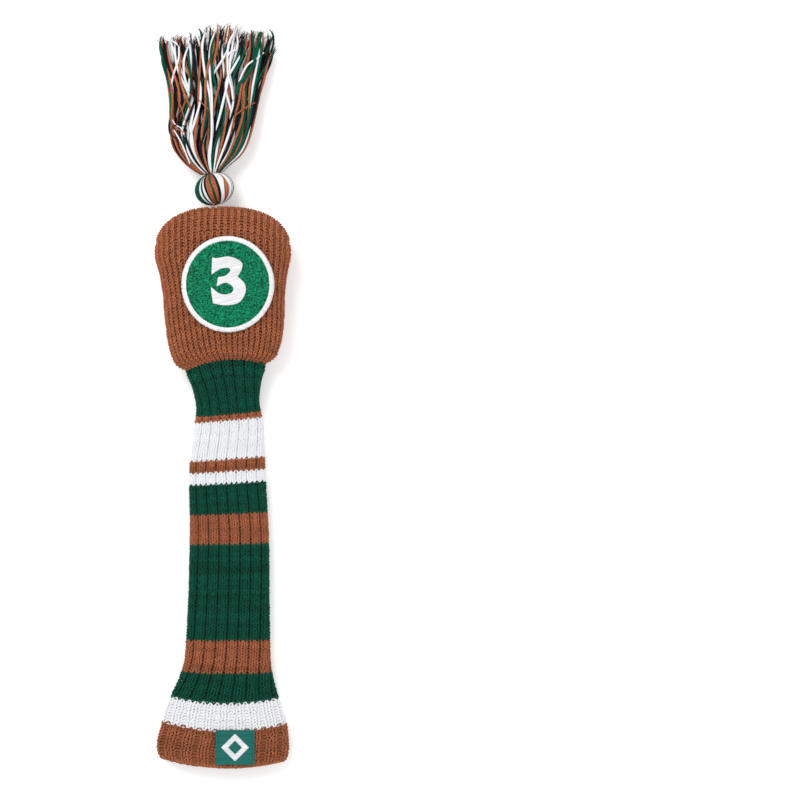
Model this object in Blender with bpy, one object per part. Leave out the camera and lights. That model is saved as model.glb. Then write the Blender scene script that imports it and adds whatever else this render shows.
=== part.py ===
"""Knitted golf head cover with a long ribbed sock, a round number badge and a yarn tassel.

The cover lies on its back with the badge up. Metres, +Z up, the length runs along Y: the mouth
of the sock at -Y, the tassel at +Y. The origin is under the middle of the whole length, on the
surface that the cover lies on.
"""

import math

import bmesh
import bpy

MM = 0.001

# Driving dimensions -------------------------------------------------------------------------
GAP = 0.3 * MM  # between pieces that touch
AROUND = 24  # sides of every knitted ring

COURSE = 2.357 * MM  # height of one knitted row
NECK_ROWS, HEM_ROWS = 18, 12
STRIPES = (  # name, rows, yarn, from the neck down to the hem
    ("stripe_tan_1", 2, "tan"),
    ("stripe_white_1", 13, "white"),
    ("stripe_tan_2", 4, "tan"),
    ("stripe_white_2", 4, "white"),
    ("stripe_green_1", 10, "green"),
    ("stripe_tan_3", 10, "tan"),
    ("stripe_green_2", 32, "green"),
    ("stripe_tan_4", 11, "tan"),
    ("stripe_green_3", 10, "green"),
    ("stripe_white_3", 9, "white"),
)
SLEEVE_ROWS = NECK_ROWS + sum(rows for _, rows, _ in STRIPES) + HEM_ROWS
SLEEVE_LENGTH = SLEEVE_ROWS * COURSE

HEAD_HALF_WIDTH = 53.8 * MM  # at the widest place, just under the crown
HEAD_HALF_THICK = 25.0 * MM
SIDE_HEIGHT = 82.7 * MM  # from the neck to the widest place
CROWN_HEIGHT = 37.1 * MM
HEAD_LENGTH = SIDE_HEIGHT + CROWN_HEIGHT
CROWN_POWER = 2.4  # how square the top outline is
CROWN_PUFF = 1.8  # how full the crown is, seen from the side

NECK_HALF_WIDTH, NECK_HALF_THICK = 25.2 * MM, 12.5 * MM
JOIN_HALF_WIDTH, JOIN_HALF_THICK = 31.2 * MM, 15.0 * MM
SOCK_HALF_WIDTH, SOCK_HALF_THICK = 33.9 * MM, 10.5 * MM
MOUTH_HALF_WIDTH, MOUTH_HALF_THICK = 51.9 * MM, 11.5 * MM

WALL = 3.2 * MM  # one knitted layer
LINING_WALL = 1.8 * MM
SINK = 0.9 * MM  # how much of its underside the soft cover flattens
JOIN_BOW = 6.0 * MM  # how far the last head row is lower at its sides
HEM_BOW = 6.5 * MM  # how far the hem's sides are higher than its middle
FLARE_ROW, FLARE_ROWS = 98, 26  # the row where the sock starts to widen, and over how many

ELASTIC_WALL, ELASTIC_ROWS = 1.0 * MM, 6
NECK_RING_ROWS, BAND_RING_ROWS = 3, 6  # rows between the rings of points
SEAM_X, SEAM_WIDTH, SEAM_THICK = -4.0 * MM, 4.0 * MM, 1.2 * MM

BADGE_X, BADGE_ABOVE_JOIN = 4.7 * MM, 58.2 * MM
BADGE_HALF_X, BADGE_HALF_Y = 35.9 * MM, 37.2 * MM
BADGE_BORDER, BADGE_THICK = 4.0 * MM, 1.6 * MM
BADGE_LIFT = 0.5 * MM  # the badge lies on the tops of the stitches
NUMERAL_X, NUMERAL_ABOVE_JOIN = 5.5 * MM, 60.6 * MM
NUMERAL_WIDTH, NUMERAL_HEIGHT, NUMERAL_THICK = 26.6 * MM, 37.0 * MM, 1.2 * MM

LABEL_WIDTH, LABEL_HEIGHT, LABEL_THICK = 30.0 * MM, 27.0 * MM, 0.8 * MM
LABEL_X, LABEL_ABOVE_HEM = 9.4 * MM, 15.6 * MM

TASSEL_X = -7.3 * MM
BALL_HALF_WIDTH, BALL_HALF_LENGTH = 15.4 * MM, 13.4 * MM
BALL_WALL = 4.0 * MM
BALL_MOUTH = 5.0 * MM  # radius of the wrap's open end, under the binding
BALL_PLAY = 0.6 * MM  # room between the ball and the crown
CORD_RADIUS = 0.9 * MM
CORD_ABOVE_CROWN = 0.6 * MM  # middle of the cord's loop, which the tassel turns about
KNOT_RADIUS = 3.4 * MM
BINDING_RADIUS, BINDING_LENGTH = 7.8 * MM, 3.0 * MM
SKIRT_LENGTH = 110.0 * MM
LOCK_YARNS = ("tan", "white", "green", "tan", "navy", "white", "tan")

# Half width, middle, half thickness and height of the underside at places down the sock, by
# row. Each line rests on the named sizes above.
SLEEVE_STATIONS = (
    (0, JOIN_HALF_WIDTH, 2.0 * MM, JOIN_HALF_THICK, 4.0 * MM),
    (7, NECK_HALF_WIDTH + 1.9 * MM, 2.6 * MM, NECK_HALF_THICK + 1.0 * MM, 2.0 * MM),
    (15, NECK_HALF_WIDTH, 3.4 * MM, NECK_HALF_THICK, 0.4 * MM),
    (22, NECK_HALF_WIDTH + 2.4 * MM, 4.0 * MM, SOCK_HALF_THICK + 0.7 * MM, -SINK),
    (36, SOCK_HALF_WIDTH - 3.6 * MM, 2.8 * MM, SOCK_HALF_THICK, -SINK),
    (60, SOCK_HALF_WIDTH - 2.3 * MM, 4.4 * MM, SOCK_HALF_THICK, -SINK),
    (FLARE_ROW, SOCK_HALF_WIDTH, 3.2 * MM, SOCK_HALF_THICK, -SINK),
    (106, SOCK_HALF_WIDTH + 2.9 * MM, 2.2 * MM, SOCK_HALF_THICK, -SINK),
    (114, MOUTH_HALF_WIDTH - 9.1 * MM, 1.0 * MM, MOUTH_HALF_THICK - 0.5 * MM, -SINK),
    (FLARE_ROW + FLARE_ROWS, MOUTH_HALF_WIDTH - 2.6 * MM, 0.6 * MM, MOUTH_HALF_THICK, -SINK),
    (SLEEVE_ROWS - 4, MOUTH_HALF_WIDTH, -0.6 * MM, MOUTH_HALF_THICK, -SINK),
    (SLEEVE_ROWS, MOUTH_HALF_WIDTH - 2.4 * MM, -0.8 * MM, MOUTH_HALF_THICK, -SINK),
)
# The same up the side of the head, by height above the neck.
HEAD_STATIONS = (
    (0.0, JOIN_HALF_WIDTH, 2.0 * MM, JOIN_HALF_THICK, 4.0 * MM),
    (2.5 * MM, JOIN_HALF_WIDTH + 5.8 * MM, 2.4 * MM, HEAD_HALF_THICK - 7.5 * MM, 2.0 * MM),
    (6.0 * MM, JOIN_HALF_WIDTH + 9.8 * MM, 2.0 * MM, HEAD_HALF_THICK - 5.0 * MM, 0.6 * MM),
    (16.0 * MM, HEAD_HALF_WIDTH - 8.8 * MM, 1.6 * MM, HEAD_HALF_THICK - 2.5 * MM, -SINK),
    (31.0 * MM, HEAD_HALF_WIDTH - 6.6 * MM, 1.2 * MM, HEAD_HALF_THICK - 1.0 * MM, -SINK),
    (50.0 * MM, HEAD_HALF_WIDTH - 5.6 * MM, 0.8 * MM, HEAD_HALF_THICK, -SINK),
    (66.0 * MM, HEAD_HALF_WIDTH - 3.5 * MM, 0.3 * MM, HEAD_HALF_THICK, -SINK),
    (SIDE_HEIGHT, HEAD_HALF_WIDTH, 0.0, HEAD_HALF_THICK, -SINK),
)
SECTION_POWER = 2.3  # 2 is an ellipse; more is boxier
# How far the rows climb to the right, by row down the sock.
ROW_TILT = ((0, 0.09), (30, 0.055), (70, 0.0), (SLEEVE_ROWS, -0.03))
# The tassel's skirt by distance from the binding: half width, middle, underside and top.
SKIRT_STATIONS = (
    (0.0, BINDING_RADIUS, -3.0 * MM, 8.0 * MM, 23.0 * MM),
    (6.0 * MM, 20.0 * MM, -4.5 * MM, 3.0 * MM, 27.5 * MM),
    (16.0 * MM, 29.0 * MM, -4.0 * MM, 0.2 * MM, 30.0 * MM),
    (30.0 * MM, 33.5 * MM, -3.5 * MM, 0.1 * MM, 28.0 * MM),
    (60.0 * MM, 37.5 * MM, -0.5 * MM, 0.1 * MM, 22.0 * MM),
    (85.0 * MM, 42.0 * MM, -0.8 * MM, 0.1 * MM, 15.0 * MM),
    (SKIRT_LENGTH, 45.0 * MM, -1.0 * MM, 0.1 * MM, 8.0 * MM),
)

# Places that follow from the sizes ------------------------------------------------------------
RIDGE_Z = HEAD_HALF_THICK - SINK
BALL_Z = max(BALL_HALF_WIDTH, BALL_HALF_LENGTH) + 0.1 * MM
MOUTH_SHARE = math.sqrt(1 - (BALL_MOUTH / BALL_HALF_WIDTH) ** 2)
# The ball also stays clear of the cord, which comes out of the ridge above the ball's middle.
CORD_OFFSET = max(RIDGE_Z - CORD_RADIUS - BALL_Z, 0.0) / BALL_HALF_WIDTH
CORD_HOLLOW = BALL_HALF_LENGTH * (1 - math.sqrt(1 - CORD_OFFSET**2))
BALL_CLEAR = max(BALL_PLAY, CORD_ABOVE_CROWN + CORD_RADIUS + GAP - CORD_HOLLOW)
TASSEL_REACH = BALL_CLEAR + BALL_HALF_LENGTH * (1 + MOUTH_SHARE) + GAP
TASSEL_REACH += BINDING_LENGTH + GAP + SKIRT_LENGTH
WHOLE_LENGTH = SLEEVE_LENGTH + HEAD_LENGTH + TASSEL_REACH
JOIN_Y = SLEEVE_LENGTH - WHOLE_LENGTH / 2
CROWN_Y = JOIN_Y + HEAD_LENGTH
BALL_Y = CROWN_Y + BALL_CLEAR + BALL_HALF_LENGTH
BINDING_Y = BALL_Y + BALL_HALF_LENGTH * MOUTH_SHARE + GAP
SKIRT_Y = BINDING_Y + BINDING_LENGTH + GAP
CORD_Y = CROWN_Y + CORD_ABOVE_CROWN

COLOURS = {
    "tan": (0.31, 0.094, 0.045),
    "green": (0.003, 0.052, 0.033),
    "white": (0.83, 0.84, 0.85),
    "navy": (0.01, 0.012, 0.03),
    "badge_green": (0.014, 0.22, 0.11),
    "label_green": (0.010, 0.115, 0.10),
    "lining": (0.55, 0.52, 0.47),
    "elastic": (0.6, 0.6, 0.58),
    "thread": (0.25, 0.08, 0.04),
    "wood": (0.45, 0.28, 0.15),
}


# Shape of the cover ----------------------------------------------------------------------------
def between(stations, at):
    """Values at a place in a list of stations, joined by smooth curves that don't overshoot."""
    places = [station[0] for station in stations]
    at = min(max(at, places[0]), places[-1])
    i = max(k for k in range(len(places) - 1) if places[k] <= at)
    span = places[i + 1] - places[i]
    t = (at - places[i]) / span

    def slope(k, column):
        if k in (0, len(places) - 1):
            return 0.0
        before = (stations[k][column] - stations[k - 1][column]) / (places[k] - places[k - 1])
        after = (stations[k + 1][column] - stations[k][column]) / (places[k + 1] - places[k])
        return 0.0 if before * after <= 0 else 2 * before * after / (before + after)

    values = []
    for column in range(1, len(stations[0])):
        a, b = stations[i][column], stations[i + 1][column]
        low, high = slope(i, column) * span, slope(i + 1, column) * span
        values.append(
            a * (1 + 2 * t) * (1 - t) ** 2
            + b * t * t * (3 - 2 * t)
            + low * t * (1 - t) ** 2
            - high * t * t * (1 - t)
        )
    return values


def ease(t):
    t = min(max(t, 0.0), 1.0)
    return t * t * (3 - 2 * t)


def section(height):
    """Half width, middle, half thickness and underside of the cover at a height above the neck
    join. Heights in the sock are negative."""
    if height < 0:
        return between(SLEEVE_STATIONS, -height / COURSE)
    half_width, middle, half_thick, under = between(HEAD_STATIONS, height)
    if height > SIDE_HEIGHT:
        up = min((height - SIDE_HEIGHT) / CROWN_HEIGHT, 1.0)
        half_width *= (1 - up**CROWN_POWER) ** (1 / CROWN_POWER)
        fullness = (1 - up**CROWN_POWER) ** (1 / CROWN_PUFF)
        half_thick *= fullness
        under = RIDGE_Z - half_thick
    return half_width, middle, half_thick, under


def row_shift(height, x, middle, half_width):
    """How far a row of stitches at x lies above its place in the middle of the cover."""
    across = (x - middle) / half_width
    row = -height / COURSE
    if height >= 0:
        fade = 1 - ease(height / JOIN_HALF_WIDTH)
        return fade * (ROW_TILT[0][1] * (x - middle) - JOIN_BOW * across * across)
    bow = HEM_BOW * ease((row - FLARE_ROW) / FLARE_ROWS) - JOIN_BOW * (1 - ease(row / NECK_ROWS))
    return between(ROW_TILT, row)[0] * (x - middle) + bow * across * across


def around(angle):
    """A point on the cover's unit section: across and up, each from -1 to 1."""
    power = 2 / SECTION_POWER
    across = math.copysign(abs(math.cos(angle)) ** power, math.cos(angle))
    return across, math.copysign(abs(math.sin(angle)) ** power, math.sin(angle))


def ring(height, inset=0.0):
    """Points round the cover at a height above the neck join, a wall's thickness inside it."""
    half_width, middle, half_thick, under = section(height)
    points = []
    for k in range(AROUND):
        across, up = around(2 * math.pi * (k + 0.5) / AROUND)
        x = middle + (half_width - inset) * across
        y = JOIN_Y + height + row_shift(height, x, middle, half_width)
        z = max(under + half_thick + (half_thick - inset) * up, inset)
        points.append((x, y, z))
    return points


def front_z(x, y):
    """Height of the cover's upper surface over a place on the floor."""
    height = y - JOIN_Y
    for _ in range(6):
        half_width, middle, half_thick, under = section(height)
        height = y - JOIN_Y - row_shift(height, x, middle, half_width)
    across = min(abs(x - middle) / half_width, 0.98)
    return under + half_thick * (1 + (1 - across**SECTION_POWER) ** (1 / SECTION_POWER))


# Making objects ----------------------------------------------------------------------------------
def material(colour):
    name = f"{colour}_finish"
    found = bpy.data.materials.get(name)
    if found:
        return found
    made = bpy.data.materials.new(name)
    made.use_nodes = True
    shader = made.node_tree.nodes["Principled BSDF"]
    shader.inputs["Base Color"].default_value = (*COLOURS[colour], 1)
    shader.inputs["Roughness"].default_value = 0.85
    shader.inputs["Metallic"].default_value = 0.0
    return made


def add_object(name, bm, colour, origin=(0, 0, 0)):
    bmesh.ops.recalc_face_normals(bm, faces=bm.faces)
    bmesh.ops.translate(bm, verts=bm.verts, vec=[-c for c in origin])
    mesh = bpy.data.meshes.new(name)
    bm.to_mesh(mesh)
    bm.free()
    mesh.shade_smooth()
    mesh.set_sharp_from_angle(angle=math.radians(40))
    made = bpy.data.objects.new(name, mesh)
    made.location = origin
    made.data.materials.append(material(colour))
    bpy.context.scene.collection.objects.link(made)
    return made


def loft(rings, joined_ends=False):
    """A closed skin over rings of points. Ends are filled with a fan, or joined to each other."""
    bm = bmesh.new()
    loops = [[bm.verts.new(point) for point in points] for points in rings]
    pairs = list(zip(loops, loops[1:]))
    if joined_ends:
        pairs.append((loops[-1], loops[0]))
    for low, high in pairs:
        for k in range(len(low)):
            after = (k + 1) % len(low)
            bm.faces.new((low[k], low[after], high[after], high[k]))
    if not joined_ends:
        for loop in (loops[0], loops[-1]):
            middle = bm.verts.new([sum(v.co[i] for v in loop) / len(loop) for i in range(3)])
            for k in range(len(loop)):
                bm.faces.new((loop[k], loop[(k + 1) % len(loop)], middle))
    return bm


def knitted_tube(name, top, bottom, steps, wall, colour, inset=0.0):
    """A tube of fabric between two heights, open at both ends."""
    heights = [top + (bottom - top) * k / steps for k in range(steps + 1)]
    outer = [ring(h, inset) for h in heights]
    inner = [ring(h, inset + wall) for h in reversed(heights)]
    return add_object(name, loft(outer + inner, joined_ends=True), colour)


def relief(name, outline, under, thick, colour, cell):
    """A flat outline laid on the cover: its underside follows the surface, lifted by `under`."""
    bm = bmesh.new()
    face = bm.faces.new([bm.verts.new((x, y, 0)) for x, y in outline])
    bmesh.ops.triangulate(bm, faces=[face])
    for axis in (0, 1):
        low = min(point[axis] for point in outline)
        high = max(point[axis] for point in outline)
        count = max(1, round((high - low) / cell))
        for k in range(1, count):
            place, normal = [0, 0, 0], [0, 0, 0]
            place[axis], normal[axis] = low + (high - low) * k / count, 1
            everything = bm.verts[:] + bm.edges[:] + bm.faces[:]
            bmesh.ops.bisect_plane(bm, geom=everything, dist=1e-6, plane_co=place, plane_no=normal)
    for vert in bm.verts:
        vert.co.z = front_z(vert.co.x, vert.co.y) + under
    made = bmesh.ops.extrude_face_region(bm, geom=bm.faces[:])
    tops = [item for item in made["geom"] if isinstance(item, bmesh.types.BMVert)]
    bmesh.ops.translate(bm, verts=tops, vec=(0, 0, thick))
    return add_object(name, bm, colour)


def turned(name, profile, centre, colour, sides=16, joined_ends=False):
    """A piece turned about a line along Y: the profile gives (y from the centre, radius)."""
    rings = []
    for y, radius in profile:
        points = []
        for k in range(sides):
            angle = 2 * math.pi * k / sides
            points.append(
                (centre[0] + radius * math.cos(angle), centre[1] + y, centre[2] + radius * math.sin(angle))
            )
        rings.append(points)
    return add_object(name, loft(rings, joined_ends), colour, origin=centre)


# Head ------------------------------------------------------------------------------------------------
def head_heights(top):
    """Heights of the head's rings, closer together round the neck and over the crown."""
    heights = [GAP / 2] + [station[0] for station in HEAD_STATIONS[1:]]
    for share in (0.3, 0.52, 0.68, 0.8, 0.88, 0.95):
        heights.append(SIDE_HEIGHT + CROWN_HEIGHT * share)
    return [height for height in heights if height < top - MM] + [top]


def crown_ring(height, inset):
    """A ring of the crown. The higher it is, the nearer its middle is to the cord."""
    half_width, _, half_thick, under = section(height)
    wide, tall = half_width - inset, half_thick - inset
    centre_x = TASSEL_X * (1 - wide / (HEAD_HALF_WIDTH - inset))
    points = []
    for k in range(AROUND):
        across, up = around(2 * math.pi * (k + 0.5) / AROUND)
        points.append((centre_x + wide * across, JOIN_Y + height, under + half_thick + tall * up))
    return points


def eyelet(height, radius):
    points = []
    for k in range(AROUND):
        angle = 2 * math.pi * (k + 0.5) / AROUND
        x, z = TASSEL_X + radius * math.cos(angle), RIDGE_Z + radius * math.sin(angle)
        points.append((x, JOIN_Y + height, z))
    return points


def head_skin(top, inset):
    low = [ring(height, inset) for height in head_heights(top) if height <= SIDE_HEIGHT]
    return low + [crown_ring(height, inset) for height in head_heights(top) if height > SIDE_HEIGHT]


def add_head():
    """The bag that holds the club head, its lining, and the knot that holds the tassel's cord."""
    hole = CORD_RADIUS + 2 * GAP
    thin = 0.4 * MM
    outer = head_skin(HEAD_LENGTH - thin, 0.0)
    outer.append(eyelet(HEAD_LENGTH, hole))
    inner = head_skin(HEAD_LENGTH - WALL - thin, WALL)
    inner.append(eyelet(HEAD_LENGTH - WALL, hole))
    add_object("head_pocket", loft(outer + inner[::-1], joined_ends=True), "tan")

    lining_top = HEAD_LENGTH - WALL - 3 * GAP - 2 * KNOT_RADIUS
    outer = head_skin(lining_top, WALL + GAP)
    inner = head_skin(lining_top - LINING_WALL, WALL + GAP + LINING_WALL)
    add_object("head_lining", loft(outer[::-1] + inner), "lining")

    knot_y = -WALL - GAP - KNOT_RADIUS
    profile = [
        (knot_y - KNOT_RADIUS * math.cos(math.radians(turn)), KNOT_RADIUS * math.sin(math.radians(turn)))
        for turn in range(20, 161, 20)
    ]
    profile += [(-WALL, CORD_RADIUS), (CORD_ABOVE_CROWN - CORD_RADIUS - GAP, CORD_RADIUS)]
    turned("cord_knot", profile, (TASSEL_X, CROWN_Y, RIDGE_Z), "thread", sides=12)


# Badge -----------------------------------------------------------------------------------------------
def badge_loop(inset, lift, sides=36):
    """Points round the badge, a margin in from its edge and lifted off the knitting."""
    points = []
    for k in range(sides):
        angle = 2 * math.pi * k / sides
        x = BADGE_X + (BADGE_HALF_X - inset) * math.cos(angle)
        y = JOIN_Y + BADGE_ABOVE_JOIN + (BADGE_HALF_Y - inset) * math.sin(angle)
        points.append((x, y, front_z(x, y) + lift))
    return points


def numeral_outline():
    """A bold three with flared ends. Places are in hundredths of its width and height, from the
    lower left; a run of places between two corners is a smooth curve."""
    runs = (
        ((4, 98), (17, 96.5), (52, 100), (85, 90), (88, 76), (75, 59)),
        ((75, 59), (96, 44), (98, 26), (80, 6), (42, 0), (6, 4)),
        ((6, 4), (0, 36)),
        ((0, 36), (20, 24), (42, 20.5), (62, 26), (65, 37), (47, 47), (30, 45), (17, 39.5)),
        ((17, 39.5), (21, 57)),
        ((21, 57), (42, 60), (57, 71), (50, 78), (30, 77), (13, 71), (2, 64.5)),
        ((2, 64.5), (4, 98)),
    )
    outline = []
    for run in runs:
        steps = 1 if len(run) == 2 else 3
        for i in range(len(run) - 1):
            before, after = run[max(i - 1, 0)], run[min(i + 2, len(run) - 1)]
            for k in range(steps):
                t = k / steps
                place = []
                for axis in (0, 1):
                    a, b = run[i][axis], run[i + 1][axis]
                    leave, arrive = (b - before[axis]) / 2, (after[axis] - a) / 2
                    value = a * (1 + 2 * t) * (1 - t) ** 2 + b * t * t * (3 - 2 * t)
                    place.append(value + leave * t * (1 - t) ** 2 - arrive * t * t * (1 - t))
                outline.append(place)
    left = NUMERAL_X - NUMERAL_WIDTH / 2
    low = JOIN_Y + NUMERAL_ABOVE_JOIN - NUMERAL_HEIGHT / 2
    return [(left + x / 100 * NUMERAL_WIDTH, low + y / 100 * NUMERAL_HEIGHT) for x, y in outline]


def add_badge():
    disc = [(x, y) for x, y, _ in badge_loop(BADGE_BORDER, 0)]
    relief("badge_disc", disc, BADGE_LIFT, BADGE_THICK, "badge_green", cell=9 * MM)
    edge = BADGE_BORDER - GAP
    low, high = BADGE_LIFT, BADGE_LIFT + BADGE_THICK
    corners = ((0, low), (0, high), (edge, high), (edge, low))
    loops = [badge_loop(inset, lift) for inset, lift in corners]
    add_object("badge_border", loft(loops, joined_ends=True), "white")
    relief("numeral_3", numeral_outline(), high + GAP, NUMERAL_THICK, "white", cell=10 * MM)


# Sock ------------------------------------------------------------------------------------------------
def add_sleeve():
    """The bands of the sock, each knitted in its own yarn, from the neck down to the hem."""
    row = 0
    for name, rows, yarn in (("neck_rib", NECK_ROWS, "green"), *STRIPES, ("hem_cuff", HEM_ROWS, "tan")):
        top, bottom = -row * COURSE - GAP / 2, -(row + rows) * COURSE + GAP / 2
        spacing = NECK_RING_ROWS if name == "neck_rib" else BAND_RING_ROWS
        knitted_tube(name, top, bottom, max(1, round(rows / spacing)), WALL, yarn)
        row += rows


def add_sleeve_fittings():
    """The elastic inside the neck, the seam down the back and the label on the hem."""
    top = -NECK_RING_ROWS * COURSE
    bottom = top - ELASTIC_ROWS * COURSE
    steps = ELASTIC_ROWS // NECK_RING_ROWS
    knitted_tube("neck_elastic", top, bottom, steps, ELASTIC_WALL, "elastic", inset=WALL + 2 * GAP)

    first_row, low_end = NECK_ROWS + 6, 3 * MM
    start, end = JOIN_Y - first_row * COURSE, JOIN_Y - SLEEVE_LENGTH + low_end
    low, high = WALL + GAP, WALL + GAP + SEAM_THICK
    sides = ((-SEAM_WIDTH / 2, low), (SEAM_WIDTH / 2, low), (SEAM_WIDTH / 4, high), (-SEAM_WIDTH / 4, high))
    loops = [[(SEAM_X + x, y, z) for x, z in sides] for y in (start, end)]
    add_object("back_seam", loft(loops), "thread")

    middle = JOIN_Y - SLEEVE_LENGTH + LABEL_ABOVE_HEM
    outline = [
        (LABEL_X + x * LABEL_WIDTH / 2, middle + y * LABEL_HEIGHT / 2)
        for x, y in ((-1, -1), (1, -1), (1, 1), (-1, 1))
    ]
    relief("hem_label", outline, GAP, LABEL_THICK, "label_green", cell=10 * MM)


# Tassel ----------------------------------------------------------------------------------------------
def ellipse_profile(half_length, half_width, start, end, steps):
    """(y, radius) along an ellipse, between two turns in degrees from its lower pole."""
    places = []
    for k in range(steps + 1):
        turn = math.radians(start + (end - start) * k / steps)
        places.append((-half_length * math.cos(turn), half_width * math.sin(turn)))
    return places


def add_ball():
    centre = (TASSEL_X, BALL_Y, BALL_Z)
    mouth_turn = 180 - math.degrees(math.asin(BALL_MOUTH / BALL_HALF_WIDTH))
    outer = ellipse_profile(BALL_HALF_LENGTH, BALL_HALF_WIDTH, 12, mouth_turn, 8)
    inner_length, inner_width = BALL_HALF_LENGTH - BALL_WALL, BALL_HALF_WIDTH - BALL_WALL
    inner_turn = 180 - math.degrees(math.asin((BALL_MOUTH - GAP) / inner_width))
    inner = ellipse_profile(inner_length, inner_width, 15, inner_turn, 6)
    turned("tassel_ball_wrap", outer + inner[::-1], centre, "green")

    core = min(inner_length, inner_width) - GAP
    turned("tassel_ball_core", ellipse_profile(core, core, 15, 165, 6), centre, "wood", sides=12)

    loop = ellipse_profile(CORD_RADIUS, CORD_RADIUS, 20, 160, 5)
    turned("cord_loop", loop, (TASSEL_X, CORD_Y, RIDGE_Z), "thread", sides=12)


def add_binding():
    """The yarn tied round the strands above the ball, and the strands that it holds."""
    middle = (TASSEL_X + SKIRT_STATIONS[0][2], BINDING_Y, BALL_Z)
    inside = BALL_MOUTH + GAP
    profile = ((0, inside), (0, BINDING_RADIUS), (BINDING_LENGTH, BINDING_RADIUS), (BINDING_LENGTH, inside))
    turned("tassel_binding", profile, middle, "tan", joined_ends=True)
    bundle = ((0, BALL_MOUTH), (BINDING_LENGTH, BALL_MOUTH))
    turned("tassel_bundle", bundle, middle, "navy", sides=16)


def add_locks():
    """The skirt: locks of yarn side by side, which fan out from the binding."""
    for i, yarn in enumerate(LOCK_YARNS):
        loops = []
        for station in SKIRT_STATIONS:
            y = SKIRT_Y + station[0]
            half_width, middle, low, high = station[1:]
            points = []
            for side, top in ((0, 0), (0.5, 0), (1, 0), (1, 1), (0.5, 1), (0, 1)):
                u = 2 * (i + side) / len(LOCK_YARNS) - 1
                trim = GAP / 2 * (1 - 2 * side)
                x = TASSEL_X + middle + half_width * u + trim
                droop = 0.45 * (high - low) * abs(u) ** 3
                z = high - droop if top else low + droop * (low > 2 * MM)
                points.append((x, y, z))
            loops.append(points)
        add_object(f"tassel_lock_{i + 1}", loft(loops), yarn)


def clear_scene():
    for old in list(bpy.data.objects):
        bpy.data.objects.remove(old, do_unlink=True)


clear_scene()
add_head()
add_badge()
add_sleeve()
add_sleeve_fittings()
add_ball()
add_binding()
add_locks()
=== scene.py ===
# %% [markdown]
# # A knitted golf head cover
# The cover is a ribbed sock with a padded pocket on one end, a round number badge and a yarn
# tassel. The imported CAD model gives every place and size. This file makes the look: the sock is
# built row by row from real loops of yarn, because on knitting the yarn itself is the surface.

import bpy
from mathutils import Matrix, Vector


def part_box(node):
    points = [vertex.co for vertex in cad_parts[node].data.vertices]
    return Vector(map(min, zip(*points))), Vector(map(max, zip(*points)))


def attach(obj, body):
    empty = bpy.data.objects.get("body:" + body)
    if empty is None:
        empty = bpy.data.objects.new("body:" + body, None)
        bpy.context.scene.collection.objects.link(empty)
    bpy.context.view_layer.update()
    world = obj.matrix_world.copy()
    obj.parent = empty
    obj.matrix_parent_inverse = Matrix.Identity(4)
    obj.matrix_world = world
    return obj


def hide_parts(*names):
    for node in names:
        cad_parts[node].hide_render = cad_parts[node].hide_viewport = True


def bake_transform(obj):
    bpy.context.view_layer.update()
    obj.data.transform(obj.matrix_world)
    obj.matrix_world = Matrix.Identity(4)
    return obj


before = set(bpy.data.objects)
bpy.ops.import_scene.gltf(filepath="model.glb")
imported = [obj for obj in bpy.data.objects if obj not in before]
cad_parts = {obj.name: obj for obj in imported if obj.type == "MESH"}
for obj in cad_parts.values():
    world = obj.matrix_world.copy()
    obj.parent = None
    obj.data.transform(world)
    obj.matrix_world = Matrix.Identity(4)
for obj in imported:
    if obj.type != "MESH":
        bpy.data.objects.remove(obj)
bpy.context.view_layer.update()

# %% [markdown]
# ## Floor, light and camera
# The cover lies face up on a plain white table. The camera looks straight down from three
# metres, so that the long sock isn't distorted, and leaves room on the right.

# %% Floor and light
import math
from typing import NamedTuple

import bmesh
import bpy
import numpy as np
from mathutils import Vector

MM = 0.001
scene = bpy.context.scene
scene.view_settings.view_transform = "Standard"


def set_inputs(node, values):
    for name, value in values.items():
        node.inputs[name].default_value = value


def add_floor(half=3.0):
    mesh = bpy.data.meshes.new("floor")
    corners = [(-half, -half, 0), (half, -half, 0), (half, half, 0), (-half, half, 0)]
    mesh.from_pydata(corners, [], [(0, 1, 2, 3)])
    floor = bpy.data.objects.new("floor", mesh)
    finish = bpy.data.materials.new("white_table")
    finish.use_nodes = True
    set_inputs(finish.node_tree.nodes["Principled BSDF"], {
        "Base Color": (0.95, 0.95, 0.95, 1), "Roughness": 0.9,
        "Emission Color": (1, 1, 1, 1), "Emission Strength": 0.22,
    })  # fmt: skip
    mesh.materials.append(finish)
    scene.collection.objects.link(floor)


def add_softbox(name, place, size, watts):
    """A square light that faces the middle of the table."""
    lamp = bpy.data.lights.new(name, "AREA")
    lamp.size, lamp.energy = size, watts
    box = bpy.data.objects.new(name, lamp)
    box.location = place
    box.rotation_euler = (-Vector(place)).to_track_quat("-Z", "Y").to_euler()
    scene.collection.objects.link(box)


add_floor()
add_softbox("key_light", (-0.9, 1.2, 2.0), 1.3, 34)
add_softbox("fill_light", (1.5, -0.9, 2.2), 1.8, 16)
world = bpy.data.worlds.new("studio")
world.use_nodes = True
set_inputs(world.node_tree.nodes["Background"], {"Color": (1, 1, 1, 1), "Strength": 0.75})
scene.world = world
print("floor and two softboxes are up")

# %% [markdown]
# The camera is far off with a long lens, straight above the middle of the table.

# %% Camera
FRAME_WIDTH = 624 * MM  # width of the view at the height of the cover's edges
LENS, SENSOR = 180.0, 36.0
VIEW_X, VIEW_Y = 138.1 * MM, -2.4 * MM  # the cover lies left of the middle
EDGE_Z = 24 * MM

camera_data = bpy.data.cameras.new("camera")
camera_data.lens = LENS
camera_data.sensor_width = SENSOR
camera_data.clip_end = 20
camera = bpy.data.objects.new("camera", camera_data)
camera.location = (VIEW_X, VIEW_Y, EDGE_Z + FRAME_WIDTH * LENS / SENSOR)
scene.collection.objects.link(camera)
scene.camera = camera
print("camera height", round(camera.location.z, 3), "m")

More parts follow.
